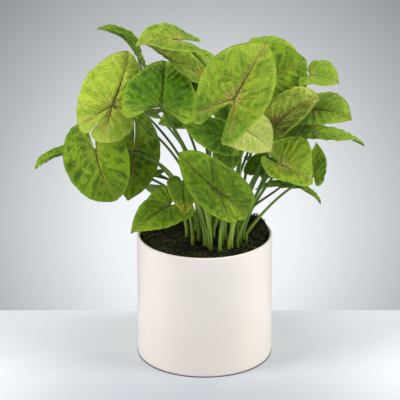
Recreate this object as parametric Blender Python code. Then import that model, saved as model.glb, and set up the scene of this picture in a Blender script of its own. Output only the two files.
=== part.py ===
"""Potted syngonium: a glazed cylinder pot, its soil, and one solid for each leaf with its stalk.

Metres, +Z up. The origin is the centre of the pot's underside, and the photographed side faces -Y.
Leaf places in LEAVES are millimetres in that frame.
"""

import math
from collections import namedtuple

import bpy
from mathutils import Vector
from mathutils.bvhtree import BVHTree

MM = 0.001
GAP = 0.0003

# Pot: a straight cylinder with a rounded lip
POT_RADIUS = 0.076
POT_HEIGHT = 0.143
POT_WALL = 0.0036
POT_FLOOR = 0.0050
POT_FOOT_ROUND = 0.0016
POT_SEGMENTS = 48
LIP_STEPS = 4
FOOT_STEPS = 2

# Soil: level at the wall, height of its mound, and the rings of its surface
SOIL_BELOW_RIM = 0.0045
SOIL_MOUND = 0.0055
SOIL_SEGMENTS = 28
SOIL_RINGS = (0.25, 0.5, 0.75, 0.92, 1.0)
ROOT_DEPTH = 0.018

# Stalks: radius at the soil and at the blade, the sides of their tubes, and how far they run straight up
STALK_RADIUS = 0.0019
STALK_TOP_RADIUS = 0.0011
STALK_SIDES = 6
STALK_STEPS = 7
STALK_STRAIGHT = 0.010
STALK_CLEARANCE = 0.0007
STALK_JOINT_DROP = 0.0009
STALK_UNDER_BLADE = 0.14

# On the left side and on the right side: how much the stalks arch over, and how they lean as they
# leave the soil, upright or more towards the blade. Then the bends that take them round each other
STALK_ARCH = (0.5, 0.15)
STALK_LEAN = ((0.2, 0.45), (0.6, 0.85))
STALK_BOWS = (0.008, 0.016, 0.026, 0.038, 0.052, 0.068)

# Where the stalks leave the soil: a clump a little right of and in front of the centre, on a staggered
# net of which each stalk may take one of the nearest free places
ROOT_CENTRE = (0.014, -0.020)
ROOT_SPREAD = (0.24, 0.40)
ROOT_LIMIT = 0.056
ROOT_SPACING = 0.0066
ROOT_CHOICES = 10

# Blade: thickness, and its half outline from the tip round to the notch, as degrees at the
# joint and reach as a share of the midrib's length
BLADE_THICKNESS = 0.0008
HALF_OUTLINE = (
    (0, 1.000), (4, 0.935), (13, 0.855), (28, 0.755), (48, 0.665), (71, 0.610), (95, 0.590),
    (117, 0.600), (135, 0.630), (149, 0.665), (158, 0.665), (164, 0.600), (168, 0.440),
)
OUTLINE_END = 168.0
LOBE_SHARE = 0.62
BLADE_RAYS = (0, 8, 24, 48, 82, 118, 146, 163)
BLADE_RINGS = (0.36, 0.70, 1.0)

EDGE_WAVE = 0.0015
EDGE_WAVES_TURN = 3.4

GREENS = ((0.30, 0.48, 0.10), (0.22, 0.40, 0.07), (0.36, 0.54, 0.13))

Leaf = namedtuple("Leaf", "name joint tip face width lobes bend back fold curl notch skew uneven full")


def leaf(name, joint, tip, face, width=1.0, lobes=1.0, bend=30, back=20, fold=12, curl=15,
         notch=13, skew=0, uneven=0, full=0):
    """One leaf: where its stalk meets the blade, its tip, and a vector that its upper face looks along.

    width and lobes stretch the outline, bend and back are the droop of its tip and its lobes, fold lifts
    its two halves and curl turns their edges down (degrees), notch is half the angle between its lobes,
    skew turns both lobes to one side, uneven widens the left half and narrows the right one, and full
    rounds the shoulders.
    """
    return Leaf(name, Vector(joint) * MM, Vector(tip) * MM, Vector(face).normalized(), width, lobes,
                math.radians(bend), math.radians(back), math.radians(fold), math.radians(curl),
                notch, skew, uneven, full)


LEAVES = [
    # The front of the crown, from the top down
    leaf("leaf_01", (31, -68, 323), (67, -46, 380), (-0.18, -0.98, 0.30), width=0.85, lobes=1.12, bend=30,
         back=8, fold=10, curl=6, notch=18, skew=7, uneven=0.10, full=0.15),
    leaf("leaf_02", (-100, -28, 302), (-84, 22, 348), (0.45, -1.0, 0.60), width=0.93, lobes=0.84, bend=65,
         back=-25, fold=3, curl=55, notch=-3, skew=16, full=0.1),
    leaf("leaf_03", (-47, -40, 307), (-43, 32, 335), (0.12, -0.45, 1.0), width=0.86, lobes=0.70, bend=25,
         back=-10, notch=42, uneven=0.06, full=0.05),
    leaf("leaf_04", (-28, -4, 370), (-75, -16, 367), (0.0, -0.22, 1.0), width=1.02, lobes=1.0, bend=45,
         back=8, fold=10, uneven=-0.1, full=0.08),
    leaf("leaf_05", (6, 12, 319), (-63, 12, 361), (0.3, -0.25, 1.0), width=0.82, lobes=0.85, bend=12,
         back=0, fold=15, uneven=-0.16),
    leaf("leaf_06", (-74, 62, 332), (-119, 55, 368), (0.6, 0.0, 0.8), width=0.5, lobes=0.5, bend=60, fold=22),
    leaf("leaf_07", (72, 30, 314), (114, 54, 330), (0.05, -1.0, 0.35), width=1.15, lobes=0.6, bend=30,
         fold=8, full=0.1),
    leaf("leaf_08", (66, 70, 337), (103, 80, 331), (0.10, -0.3, 1.0), lobes=0.8, bend=50),
    leaf("leaf_09", (117, 26, 320), (148, 10, 316), (0.2, -0.6, 0.9), width=1.1, lobes=0.35, bend=40,
         fold=20),
    leaf("leaf_10", (120, 15, 284), (162, -5, 279), (0.30, -0.6, 0.9), width=1.08, lobes=0.8, bend=45),
    leaf("leaf_11", (77, -22, 278), (127, -10, 307), (-0.10, -0.46, 0.88), width=0.88, lobes=0.4, bend=54,
         back=40, fold=20, curl=50, notch=30, skew=18, uneven=0.42, full=0.18),
    leaf("leaf_12", (121, 42, 248), (181, 36, 235), (0.2, 0.05, 1.0), width=0.8, bend=35, fold=8),
    leaf("leaf_13", (42, -50, 284), (73, -62, 262), (0.2, -0.8, 0.7), width=1.15, lobes=0.6, bend=40),
    leaf("leaf_14", (23, -28, 266), (-25, -35, 281), (-0.1, -0.5, 1.0), width=0.85, lobes=0.6, bend=20,
         uneven=0.1, full=0.1),
    leaf("leaf_15", (17, -80, 220), (-29, -50, 257), (-0.05, -0.99, 0.12), width=0.68, lobes=0.95, bend=57,
         back=38, fold=21, curl=10, notch=1, skew=28, uneven=-0.15, full=-0.02),
    leaf("leaf_16", (-38, -47, 195), (-80, -79, 174), (-0.25, -0.75, 0.75), width=0.8, lobes=0.65, bend=30,
         uneven=0.1, full=-0.06),
    leaf("leaf_17", (-121, -12, 246), (-99, -16, 186), (-0.15, -1.0, 0.25), width=0.84, lobes=1.15, bend=80,
         back=40, notch=10, skew=4, full=0.1),
    leaf("leaf_18", (-78, 4, 239), (-85, -15, 187), (0.35, -0.9, 0.3), width=0.9, lobes=1.25, bend=25,
         back=10, notch=-2),
    leaf("leaf_19", (-148, 22, 231), (-190, 12, 215), (-0.3, 0.1, 1.0), width=0.7, bend=40, fold=25),
    leaf("leaf_20", (84, -50, 242), (119, -50, 220), (0.63, -0.53, 0.56), width=1.26, lobes=0.84, bend=57,
         back=-22, fold=-3, curl=3, notch=-3, skew=13, uneven=0.45, full=0.14),
    leaf("leaf_21", (121, -11, 214), (124, 1, 251), (0.5, -0.85, 0.2), bend=30, width=0.6, lobes=0.4),
    leaf("leaf_22", (88, 10, 198), (131, 0, 178), (0.2, 0.1, 1.0), bend=60, width=0.7),
    leaf("leaf_23", (26, 5, 245), (29, -12, 220), (0.0, -0.9, 0.5), bend=20, lobes=0.8),
    leaf("leaf_24", (90, 25, 255), (127, 35, 264), (0.1, -0.3, 1.0), bend=20),
    leaf("leaf_25", (35, 44, 258), (6, 44, 276), (0.0, -0.55, 0.8), bend=30, lobes=0.8),
    leaf("leaf_26", (-24, -60, 227), (-20, -71, 193), (0.0, -1.0, 0.3), bend=25, width=0.8, lobes=0.35),
    leaf("leaf_27", (60, 12, 212), (66, 4, 242), (0.1, -0.9, 0.5), bend=20, width=0.9, lobes=0.5),
    # The sides and the back of the crown
    leaf("leaf_28", (-90, 78, 284), (-140, 105, 270), (-0.4, 0.3, 1.0), bend=45),
    leaf("leaf_29", (-50, 98, 296), (-58, 142, 286), (-0.1, 0.5, 1.0), bend=45, width=0.7),
    leaf("leaf_30", (44, 100, 304), (58, 156, 292), (0.1, 0.5, 1.0), bend=40),
    leaf("leaf_31", (82, 96, 296), (118, 140, 279), (0.4, 0.5, 0.9), bend=45),
    leaf("leaf_32", (105, 80, 262), (158, 105, 246), (0.5, 0.3, 0.8), bend=40),
    leaf("leaf_33", (-100, 62, 216), (-146, 85, 194), (-0.6, 0.3, 0.8), bend=45),
    leaf("leaf_34", (-58, 100, 255), (-88, 148, 222), (-0.3, 0.8, 0.6), bend=40),
    leaf("leaf_35", (5, 115, 262), (0, 165, 226), (0.0, 0.9, 0.6), bend=40),
    leaf("leaf_36", (62, 108, 232), (84, 150, 196), (0.3, 0.9, 0.5), bend=40),
    leaf("leaf_37", (74, 88, 200), (88, 125, 172), (0.2, 0.9, 0.6), bend=35),
    leaf("leaf_38", (-42, 80, 168), (-58, 117, 142), (-0.2, 0.9, 0.6), bend=35),
    leaf("leaf_39", (-64, 22, 205), (-84, 18, 181), (-0.4, -0.4, 1.0), width=0.8, bend=35),
    leaf("leaf_40", (-8, 38, 303), (-42, 38, 325), (-0.1, -0.5, 0.8), bend=35, lobes=0.6),
    leaf("leaf_41", (-20, 42, 270), (-52, 40, 257), (-0.1, -0.55, 0.8), bend=40),
]


def soft_steps(table, where):
    """Reads a table of (position, value) pairs with a smooth curve through them."""
    last = len(table) - 1
    for index in range(last):
        start, end = table[index], table[index + 1]
        if where <= end[0] or index == last - 1:
            break
    before = table[index - 1] if index else start
    after = table[index + 2] if index + 2 <= last else end
    span = end[0] - start[0]
    t = min(max((where - start[0]) / span, 0.0), 1.0)
    slope_in = (end[1] - before[1]) / (end[0] - before[0]) * span
    slope_out = (after[1] - start[1]) / (after[0] - start[0]) * span
    return ((2 * t ** 3 - 3 * t ** 2 + 1) * start[1] + (t ** 3 - 2 * t ** 2 + t) * slope_in
            + (3 * t ** 2 - 2 * t ** 3) * end[1] + (t ** 3 - t ** 2) * slope_out)


def arc(distance, curvature):
    """Goes a distance along an arc: how far forward, and how far it has fallen."""
    if abs(curvature) < 1e-6:
        return distance, 0.0
    return math.sin(curvature * distance) / curvature, (1 - math.cos(curvature * distance)) / curvature


def blade_axes(plant_leaf):
    """The midrib's length and the blade's forward, side and up directions at the joint."""
    chord = plant_leaf.tip - plant_leaf.joint
    ahead = chord.normalized()
    normal = (plant_leaf.face - ahead * plant_leaf.face.dot(ahead)).normalized()
    half = plant_leaf.bend / 2
    length = chord.length * (half / math.sin(half) if half > 1e-4 else 1.0)
    forward = ahead * math.cos(half) + normal * math.sin(half)
    up = normal * math.cos(half) - ahead * math.sin(half)
    return length, forward, forward.cross(up), up


def blade_point(plant_leaf, axes, angle, share):
    """A point midway through the blade: angle in degrees from the midrib, share of the way to the edge."""
    length, forward, side, up = axes
    turn = angle * (180 - plant_leaf.notch) / OUTLINE_END + plant_leaf.skew * abs(angle) / OUTLINE_END
    reach = share * soft_steps(HALF_OUTLINE, abs(angle)) * length
    reach *= 1 + plant_leaf.full * math.sin(math.radians(min(abs(angle), 110) * 180 / 110))
    along = reach * math.cos(math.radians(turn))
    across = reach * math.sin(math.radians(turn)) * plant_leaf.width
    across *= 1 - plant_leaf.uneven if angle > 0 else 1 + plant_leaf.uneven
    mirror = -1 if across < 0 else 1
    across = abs(across)
    if along < 0:
        along *= plant_leaf.lobes
        curvature = plant_leaf.back / (LOBE_SHARE * length)
    else:
        curvature = plant_leaf.bend / length
    ahead, fall = arc(along, curvature)
    tilt = curvature * along
    out, sag = arc(across, plant_leaf.curl / (0.5 * length))
    sideways = mirror * (out * math.cos(plant_leaf.fold) + sag * math.sin(plant_leaf.fold))
    height = out * math.sin(plant_leaf.fold) - sag * math.cos(plant_leaf.fold)
    height += EDGE_WAVE * share ** 2 * math.sin(math.radians(angle * EDGE_WAVES_TURN) + 9 * plant_leaf.width)
    local_up = up * math.cos(tilt) + forward * math.sin(tilt)
    return plant_leaf.joint + forward * ahead - up * fall + side * sideways + local_up * height


def blade_sheet(plant_leaf):
    """The blade's middle surface: points in rings round the joint, and triangles facing up."""
    axes = blade_axes(plant_leaf)
    angles = [-ray for ray in reversed(BLADE_RAYS[1:])] + list(BLADE_RAYS)
    points = [plant_leaf.joint.copy()]
    for share in BLADE_RINGS:
        points += [blade_point(plant_leaf, axes, angle, share) for angle in angles]
    count = len(angles)
    faces = [(0, 2 + ray, 1 + ray) for ray in range(count - 1)]
    for ring in range(len(BLADE_RINGS) - 1):
        for ray in range(count - 1):
            inner = 1 + ring * count + ray
            outer = inner + count
            faces += [(inner, outer + 1, outer), (inner, inner + 1, outer + 1)]
    start = 1 + (len(BLADE_RINGS) - 1) * count
    edge = [0] + [1 + ring * count for ring in range(len(BLADE_RINGS))]
    edge += [start + ray for ray in range(1, count)]
    edge += [count * (ring + 1) for ring in reversed(range(len(BLADE_RINGS) - 1))]
    return points, faces, edge


def thick_sheet(points, faces, edge, thickness):
    """A closed solid round a sheet, with the same triangles on both of its sides."""
    normals = [Vector((0, 0, 0)) for _ in points]
    for face in faces:
        a, b, c = (points[index] for index in face)
        cross = (b - a).cross(c - a)
        for index in face:
            normals[index] += cross
    half = thickness / 2
    count = len(points)
    upper = [point + normal.normalized() * half for point, normal in zip(points, normals)]
    lower = [point - normal.normalized() * half for point, normal in zip(points, normals)]
    solid = [tuple(face) for face in faces]
    solid += [(c + count, b + count, a + count) for a, b, c in faces]
    for here, there in zip(edge, edge[1:] + edge[:1]):
        solid += [(here, there, there + count), (here, there + count, here + count)]
    return upper + lower, solid


def tube(path, radii, sides):
    """A closed tube along a path, with a radius at each of its points."""
    points, faces = [], []
    first = (path[1] - path[0]).normalized()
    across = first.cross(Vector((1, 0, 0))).normalized()
    for index, centre in enumerate(path):
        before = path[max(index - 1, 0)]
        after = path[min(index + 1, len(path) - 1)]
        along = (after - before).normalized()
        across = (across - along * across.dot(along)).normalized()
        third = along.cross(across)
        for side in range(sides):
            turn = 2 * math.pi * side / sides
            points.append(centre + (across * math.cos(turn) + third * math.sin(turn)) * radii[index])
    for ring in range(len(path) - 1):
        for side in range(sides):
            a = ring * sides + side
            b = ring * sides + (side + 1) % sides
            faces += [(a, b, b + sides), (a, b + sides, a + sides)]
    last = (len(path) - 1) * sides
    for side in range(1, sides - 1):
        faces.append((0, side + 1, side))
        faces.append((last, last + side, last + side + 1))
    return points, faces


def soil_height(x, y):
    """Height of the soil's surface: low at the wall, with a broad uneven mound."""
    share = min(math.hypot(x, y) / (POT_RADIUS - POT_WALL), 1.0)
    uneven = 0.0012 * math.sin(x * 95 + 1.0) * math.cos(y * 80) * (1 - share)
    return POT_HEIGHT - SOIL_BELOW_RIM + SOIL_MOUND * (1 - share ** 2) + uneven


def free_roots(used):
    """Places for a stalk in the soil, on a staggered net, that no other stalk has taken."""
    roots = []
    rows = int(ROOT_LIMIT / ROOT_SPACING) + 1
    for row in range(-rows, rows + 1):
        for column in range(-rows, rows + 1):
            shift = 0.5 * (row % 2)
            x = (column + shift) * ROOT_SPACING
            y = row * ROOT_SPACING * 0.87
            if math.hypot(x, y) < ROOT_LIMIT and (row, column) not in used:
                roots.append(((row, column), Vector((x, y, soil_height(x, y)))))
    return roots


def stalk_path(plant_leaf, root, lean, swing, bow):
    """A stalk's centre line: straight in the soil, one curve to the joint, then a little under the midrib."""
    length, forward, side, up = blade_axes(plant_leaf)
    bottom = root - Vector((0, 0, ROOT_DEPTH))
    start = root + Vector((0, 0, STALK_STRAIGHT))
    joint = plant_leaf.joint - up * STALK_JOINT_DROP
    span = (joint - start).length
    leaving = Vector((0, 0, 1)).lerp((joint - start).normalized(), lean).normalized()
    arriving = (up * 0.8 + forward * 0.6 + side * swing).normalized()
    spread = Vector((joint.x - start.x, joint.y - start.y, 0))
    outward = spread.normalized()
    sideways = Vector((-outward.y, outward.x, 0))
    bend = sideways * bow[0] + outward * bow[1]
    arch = STALK_ARCH[0] if joint.x < 0 else STALK_ARCH[1]
    near = start + leaving * span * (0.3 + 0.3 * arch) + bend
    far = joint - arriving * span * 0.25 - spread * arch + bend
    path = [bottom, start]
    for step in range(1, STALK_STEPS + 1):
        t = step / STALK_STEPS
        early = start * (1 - t) ** 3 + near * 3 * t * (1 - t) ** 2
        late = far * 3 * t * t * (1 - t) + joint * t ** 3
        path.append(early + late)
    path.append(joint + forward * STALK_UNDER_BLADE * length + up * 0.5 * STALK_JOINT_DROP)
    return path


def stalk_radii(count):
    """The stalk's radius at each point of its path: it tapers to the blade and ends slim under the midrib."""
    taper = (STALK_TOP_RADIUS - STALK_RADIUS) / (count - 3)
    radii = [STALK_RADIUS, STALK_RADIUS]
    radii += [STALK_RADIUS + taper * step for step in range(1, count - 2)]
    return radii + [0.6 * STALK_TOP_RADIUS]


def tree_of(meshes):
    """One search tree over several meshes."""
    points, faces = [], []
    for mesh_points, mesh_faces in meshes:
        faces += [tuple(index + len(points) for index in face) for face in mesh_faces]
        points += mesh_points
    return BVHTree.FromPolygons(points, faces)


def stalk_bows():
    """Sideways and outward bends that a stalk may take, the slightest first."""
    bows = [(0, 0)]
    for reach in STALK_BOWS:
        bows += [(reach, 0), (-reach, 0), (0, reach), (0, -reach)]
        bows += [(reach, -reach), (-reach, -reach), (reach, reach), (-reach, reach)]
    return bows


def wide_stalk(path, points):
    """The first points of a stalk as a tube with clear air round it."""
    radii = [radius + STALK_CLEARANCE for radius in stalk_radii(len(path))]
    return tube(path[:points], radii[:points], STALK_SIDES)


def clear_stalk(plant_leaf, roots, own, others):
    """The first root and path whose stalk touches no other leaf, and its own blade only at the joint."""
    upright, leaning = STALK_LEAN[0] if plant_leaf.joint.x < 0 else STALK_LEAN[1]
    leans = ((upright, 0), (leaning, 0), (upright - 0.15, 0), (upright, 0.5), (upright, -0.5))
    for bow in stalk_bows():
        for cell, root in roots[:ROOT_CHOICES]:
            for lean, swing in leans:
                path = stalk_path(plant_leaf, root, lean, swing, bow)
                if tree_of([wide_stalk(path, len(path))]).overlap(others):
                    continue
                if tree_of([wide_stalk(path, len(path) - 2)]).overlap(own):
                    continue
                return cell, path
    raise ValueError(f"{plant_leaf.name} has no clear way to the soil")


def route_stalks(leaves, sheets):
    """Finds each leaf a root and a stalk that bends clear of every blade and of the stalks before it."""
    blades = [thick_sheet(points, faces, edge, BLADE_THICKNESS) for points, faces, edge in sheets]
    used, placed, paths = set(), [], []
    for number, plant_leaf in enumerate(leaves):
        wished_x = ROOT_CENTRE[0] + ROOT_SPREAD[0] * plant_leaf.joint.x
        wished_y = ROOT_CENTRE[1] + ROOT_SPREAD[1] * plant_leaf.joint.y
        roots = free_roots(used)
        roots.sort(key=lambda item: math.hypot(item[1].x - wished_x, item[1].y - wished_y))
        others = tree_of(blades[:number] + blades[number + 1:] + placed)
        cell, path = clear_stalk(plant_leaf, roots, tree_of([blades[number]]), others)
        used.add(cell)
        paths.append(path)
        placed.append(wide_stalk(path, len(path)))
    return paths


def material(name, colour, roughness, coat=0.0):
    """A plain Principled material."""
    made = bpy.data.materials.new(name)
    made.use_nodes = True
    shader = made.node_tree.nodes["Principled BSDF"]
    shader.inputs["Base Color"].default_value = (*colour, 1.0)
    shader.inputs["Roughness"].default_value = roughness
    shader.inputs["Metallic"].default_value = 0.0
    shader.inputs["Coat Weight"].default_value = coat
    return made


def mesh_object(name, points, faces, finish):
    """A linked object made from points and faces."""
    mesh = bpy.data.meshes.new(name)
    mesh.from_pydata([tuple(point) for point in points], [], faces)
    mesh.materials.append(finish)
    made = bpy.data.objects.new(name, mesh)
    bpy.context.scene.collection.objects.link(made)
    return made


def fuse(target, tool, operation, solver="EXACT"):
    """Applies one Boolean of tool to target and removes the tool."""
    boolean = target.modifiers.new(operation.lower(), "BOOLEAN")
    boolean.operation = operation
    boolean.solver = solver
    boolean.object = tool
    bpy.context.view_layer.update()
    shaped = target.evaluated_get(bpy.context.evaluated_depsgraph_get())
    result = bpy.data.meshes.new_from_object(shaped)
    target.modifiers.remove(boolean)
    target.data = result
    bpy.data.objects.remove(tool)


def turned(name, profile, segments, finish):
    """A solid of revolution: the profile runs from the axis below, round the outside, to the axis above."""
    points, faces, rings = [], [], []
    for radius, height in profile:
        if radius == 0:
            rings.append([len(points)] * segments)
            points.append((0, 0, height))
            continue
        rings.append([len(points) + step for step in range(segments)])
        for step in range(segments):
            turn = 2 * math.pi * step / segments
            points.append((radius * math.cos(turn), radius * math.sin(turn), height))
    for lower, upper in zip(rings, rings[1:]):
        for step in range(segments):
            after = (step + 1) % segments
            face = [lower[step], lower[after], upper[after], upper[step]]
            faces.append([index for place, index in enumerate(face) if index not in face[:place]])
    made = mesh_object(name, points, faces, finish)
    made.data.shade_smooth()
    made.data.set_sharp_from_angle(angle=math.radians(35))
    return made


def rounding(centre, radius, start, end, steps):
    """Points of an arc in a profile, with its angles in degrees."""
    turns = [math.radians(start + (end - start) * step / steps) for step in range(steps + 1)]
    return [(centre[0] + radius * math.cos(turn), centre[1] + radius * math.sin(turn)) for turn in turns]


def make_pot():
    """The glazed cylinder: flat underside, straight wall and rounded lip."""
    finish = material("pot_glaze", (0.86, 0.82, 0.77), 0.28, coat=0.3)
    lip = POT_WALL / 2
    inner = POT_RADIUS - POT_WALL
    profile = [(0, 0)]
    profile += rounding((POT_RADIUS - POT_FOOT_ROUND, POT_FOOT_ROUND), POT_FOOT_ROUND, -90, 0, FOOT_STEPS)
    profile += rounding((POT_RADIUS - lip, POT_HEIGHT - lip), lip, 0, 180, LIP_STEPS)
    profile += [(inner, POT_FLOOR), (0, POT_FLOOR)]
    return turned("pot", profile, POT_SEGMENTS, finish)


def make_soil(paths):
    """The potting soil: it fills the pot, and has a plain hole for each stalk."""
    finish = material("soil", (0.06, 0.045, 0.03), 0.95)
    radius = (POT_RADIUS - POT_WALL) * math.cos(math.pi / POT_SEGMENTS) - GAP
    points, faces = [(0, 0, soil_height(0, 0))], []
    for share in SOIL_RINGS:
        for step in range(SOIL_SEGMENTS):
            turn = 2 * math.pi * step / SOIL_SEGMENTS
            x, y = radius * share * math.cos(turn), radius * share * math.sin(turn)
            points.append((x, y, soil_height(x, y)))
    last = 1 + (len(SOIL_RINGS) - 1) * SOIL_SEGMENTS
    for step in range(SOIL_SEGMENTS):
        x, y, _ = points[last + step]
        points.append((x, y, POT_FLOOR + GAP))
    points.append((0, 0, POT_FLOOR + GAP))
    floor = len(points) - 1
    for step in range(SOIL_SEGMENTS):
        after = (step + 1) % SOIL_SEGMENTS
        faces.append((0, 1 + step, 1 + after))
        for ring in range(len(SOIL_RINGS)):
            inner = 1 + ring * SOIL_SEGMENTS
            outer = inner + SOIL_SEGMENTS
            faces.append((inner + step, outer + step, outer + after))
            faces.append((inner + step, outer + after, inner + after))
        faces.append((floor, last + SOIL_SEGMENTS + after, last + SOIL_SEGMENTS + step))
    soil = mesh_object("soil", points, faces, finish)
    holes, hole_faces = [], []
    wide = (STALK_RADIUS + GAP) / math.cos(math.pi / STALK_SIDES)
    for path in paths:
        ends = [path[0] - Vector((0, 0, GAP)), path[1]]
        hole, walls = tube(ends, [wide, wide], STALK_SIDES)
        hole_faces += [tuple(index + len(holes) for index in face) for face in walls]
        holes += hole
    cutter = mesh_object("stalk_holes", holes, hole_faces, finish)
    fuse(soil, cutter, "DIFFERENCE", "MANIFOLD")
    return soil


def make_leaf(plant_leaf, sheet, path, finish):
    """One leaf: a waved arrowhead blade fused to its stalk."""
    points, faces, edge = sheet
    blade = mesh_object(plant_leaf.name, *thick_sheet(points, faces, edge, BLADE_THICKNESS), finish)
    stalk = mesh_object("stalk", *tube(path, stalk_radii(len(path)), STALK_SIDES), finish)
    fuse(blade, stalk, "UNION")
    blade.data.shade_smooth()
    blade.data.set_sharp_from_angle(angle=math.radians(50))
    return blade


def main():
    for old in list(bpy.data.objects):
        bpy.data.objects.remove(old)
    make_pot()
    sheets = [blade_sheet(plant_leaf) for plant_leaf in LEAVES]
    paths = route_stalks(LEAVES, sheets)
    make_soil(paths)
    greens = [material(f"leaf_green_{number}", colour, 0.42) for number, colour in enumerate(GREENS)]
    for number, (plant_leaf, sheet, path) in enumerate(zip(LEAVES, sheets, paths)):
        make_leaf(plant_leaf, sheet, path, greens[number % len(greens)])


if __name__ == "__main__":
    main()
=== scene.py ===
import math
import random
from collections import namedtuple

import bpy
import numpy as np
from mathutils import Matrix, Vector, noise
from mathutils.bvhtree import BVHTree


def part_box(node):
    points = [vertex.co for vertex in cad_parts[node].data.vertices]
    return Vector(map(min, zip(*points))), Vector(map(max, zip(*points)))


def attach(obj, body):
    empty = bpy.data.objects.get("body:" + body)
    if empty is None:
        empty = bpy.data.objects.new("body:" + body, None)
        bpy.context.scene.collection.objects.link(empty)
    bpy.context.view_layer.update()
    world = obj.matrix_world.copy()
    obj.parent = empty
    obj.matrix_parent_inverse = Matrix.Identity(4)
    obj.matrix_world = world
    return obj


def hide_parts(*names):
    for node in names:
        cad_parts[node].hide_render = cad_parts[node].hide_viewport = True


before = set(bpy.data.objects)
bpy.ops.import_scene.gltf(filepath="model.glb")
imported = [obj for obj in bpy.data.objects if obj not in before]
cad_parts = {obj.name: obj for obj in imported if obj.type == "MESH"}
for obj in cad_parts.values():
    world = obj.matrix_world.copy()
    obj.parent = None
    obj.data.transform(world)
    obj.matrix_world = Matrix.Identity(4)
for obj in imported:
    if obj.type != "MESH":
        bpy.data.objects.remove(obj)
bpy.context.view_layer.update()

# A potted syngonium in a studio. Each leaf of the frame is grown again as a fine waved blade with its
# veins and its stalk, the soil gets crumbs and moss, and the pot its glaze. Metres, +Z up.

pot_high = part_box("pot")[1]

MM = 0.001

# Pot, as in the frame, with its foot a little rounder
POT_RADIUS = round(pot_high.x, 4)
POT_HEIGHT = round(pot_high.z, 4)
POT_WALL = 0.0036
POT_FLOOR = 0.0050
POT_FLOOR_CORNER = 0.0040
POT_FOOT_ROUND = 0.0025
POT_SEGMENTS = 160
POT_WALL_STEPS = 14
POT_LIP_STEPS = 14
POT_FOOT_STEPS = 8
POT_SHARP_ANGLE = 40
FOOT_RING_DEPTH = 0.0009
FOOT_RING_INSETS = (0.0060, 0.0048)

# Soil, as in the frame
SOIL_BELOW_RIM = 0.0045
SOIL_MOUND = 0.0055
SOIL_UNEVEN = 0.0012
SOIL_WAVES = (95, 80)
ROOT_DEPTH = 0.018

# Stalks, as in the frame, so that they take the same ways: their form, the pulls of their curve at the
# soil and at the joint, and the leans, swings and bows that they may take
STALK_RADIUS = 0.0019
STALK_TOP_RADIUS = 0.0011
STALK_END_RADIUS = 0.6 * STALK_TOP_RADIUS
STALK_SIDES = 6
STALK_STEPS = 7
STALK_STRAIGHT = 0.010
STALK_CLEARANCE = 0.0007
STALK_JOINT_DROP = 0.0009
STALK_UNDER_BLADE = 0.14
STALK_ARCH = (0.5, 0.15)
STALK_NEAR_PULL = 0.3
STALK_FAR_PULL = 0.25
STALK_ARRIVING = (0.8, 0.6)
STALK_LEAN = ((0.2, 0.45), (0.6, 0.85))
STALK_LESS_LEAN = 0.15
STALK_SWING = 0.5
STALK_BOWS = (0.008, 0.016, 0.026, 0.038, 0.052, 0.068)
ROOT_CENTRE = (0.014, -0.020)
ROOT_SPREAD = (0.24, 0.40)
ROOT_LIMIT = 0.056
ROOT_SPACING = 0.0066
ROOT_ROW_SHARE = 0.87
ROOT_CHOICES = 10

# Fine stalks: steps along the curve, sides, and the sheath that widens them above the soil
FINE_STALK_STEPS = 26
FINE_STALK_SIDES = 12
SHEATH_RADIUS = 0.0020
SHEATH_SHARE = 0.14
STALK_GROOVE = 0.16

# Blade, as in the frame
BLADE_THICKNESS = 0.0008
HALF_OUTLINE = (
    (0, 1.000), (4, 0.935), (13, 0.855), (28, 0.755), (48, 0.665), (71, 0.610), (95, 0.590),
    (117, 0.600), (135, 0.630), (149, 0.665), (158, 0.665), (164, 0.600), (168, 0.440),
)
OUTLINE_END = 168.0
SHOULDER_END = 110
LOBE_SHARE = 0.62
CURL_SHARE = 0.5
BLADE_RAYS = (0, 8, 24, 48, 82, 118, 146, 163)
BLADE_RINGS = (0.36, 0.70, 1.0)
EDGE_WAVE = 0.0015
EDGE_WAVES_TURN = 3.4

# Fine blade: rays in each half and rings out to the edge, thickness in the middle and at the edge, and
# its relief: the cushions between its veins and the share of them that is sunk, the groove over its main
# veins, and slow waves and a frill. Cushions and grooves are for the usual length of a midrib, and every
# reach is in midribs. NOISE_STEP sets the leaves apart in the noise that colours them, and GRAIN is the
# run of the side veins, which the streaks of colour follow
FINE_RAYS = 44
FINE_RINGS = 26
FINE_END = 165.0
OUTLINE_STEPS = 800
MIDDLE_THICKNESS = 0.0007
EDGE_THICKNESS = 0.00035
USUAL_MIDRIB = 0.060
CUSHION = 0.0017
CUSHION_SUNK = 0.85
CUSHION_REACH = 0.052
GROOVE = 0.0008
GROOVE_REACH = 0.026
MAIN_VEIN_REACH = 0.030
VEIN_REACH = 0.022
VEIN_NEARNESS = 0.6
WAVE = 0.0005
WAVE_LENGTH = 0.62
WAVE_OCTAVES = 5
WAVE_QUICKER = 1.5
WAVE_LOWER = 1.3
WAVE_SEED = 90
EDGE_FRILL = 0.0006
FRILLS = 6.3
EDGE_REACH = 0.65
NOISE_STEP = 0.7
GRAIN_HEADING = (0.55, 0.83)
GRAIN_HALVES = 0.3

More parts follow.
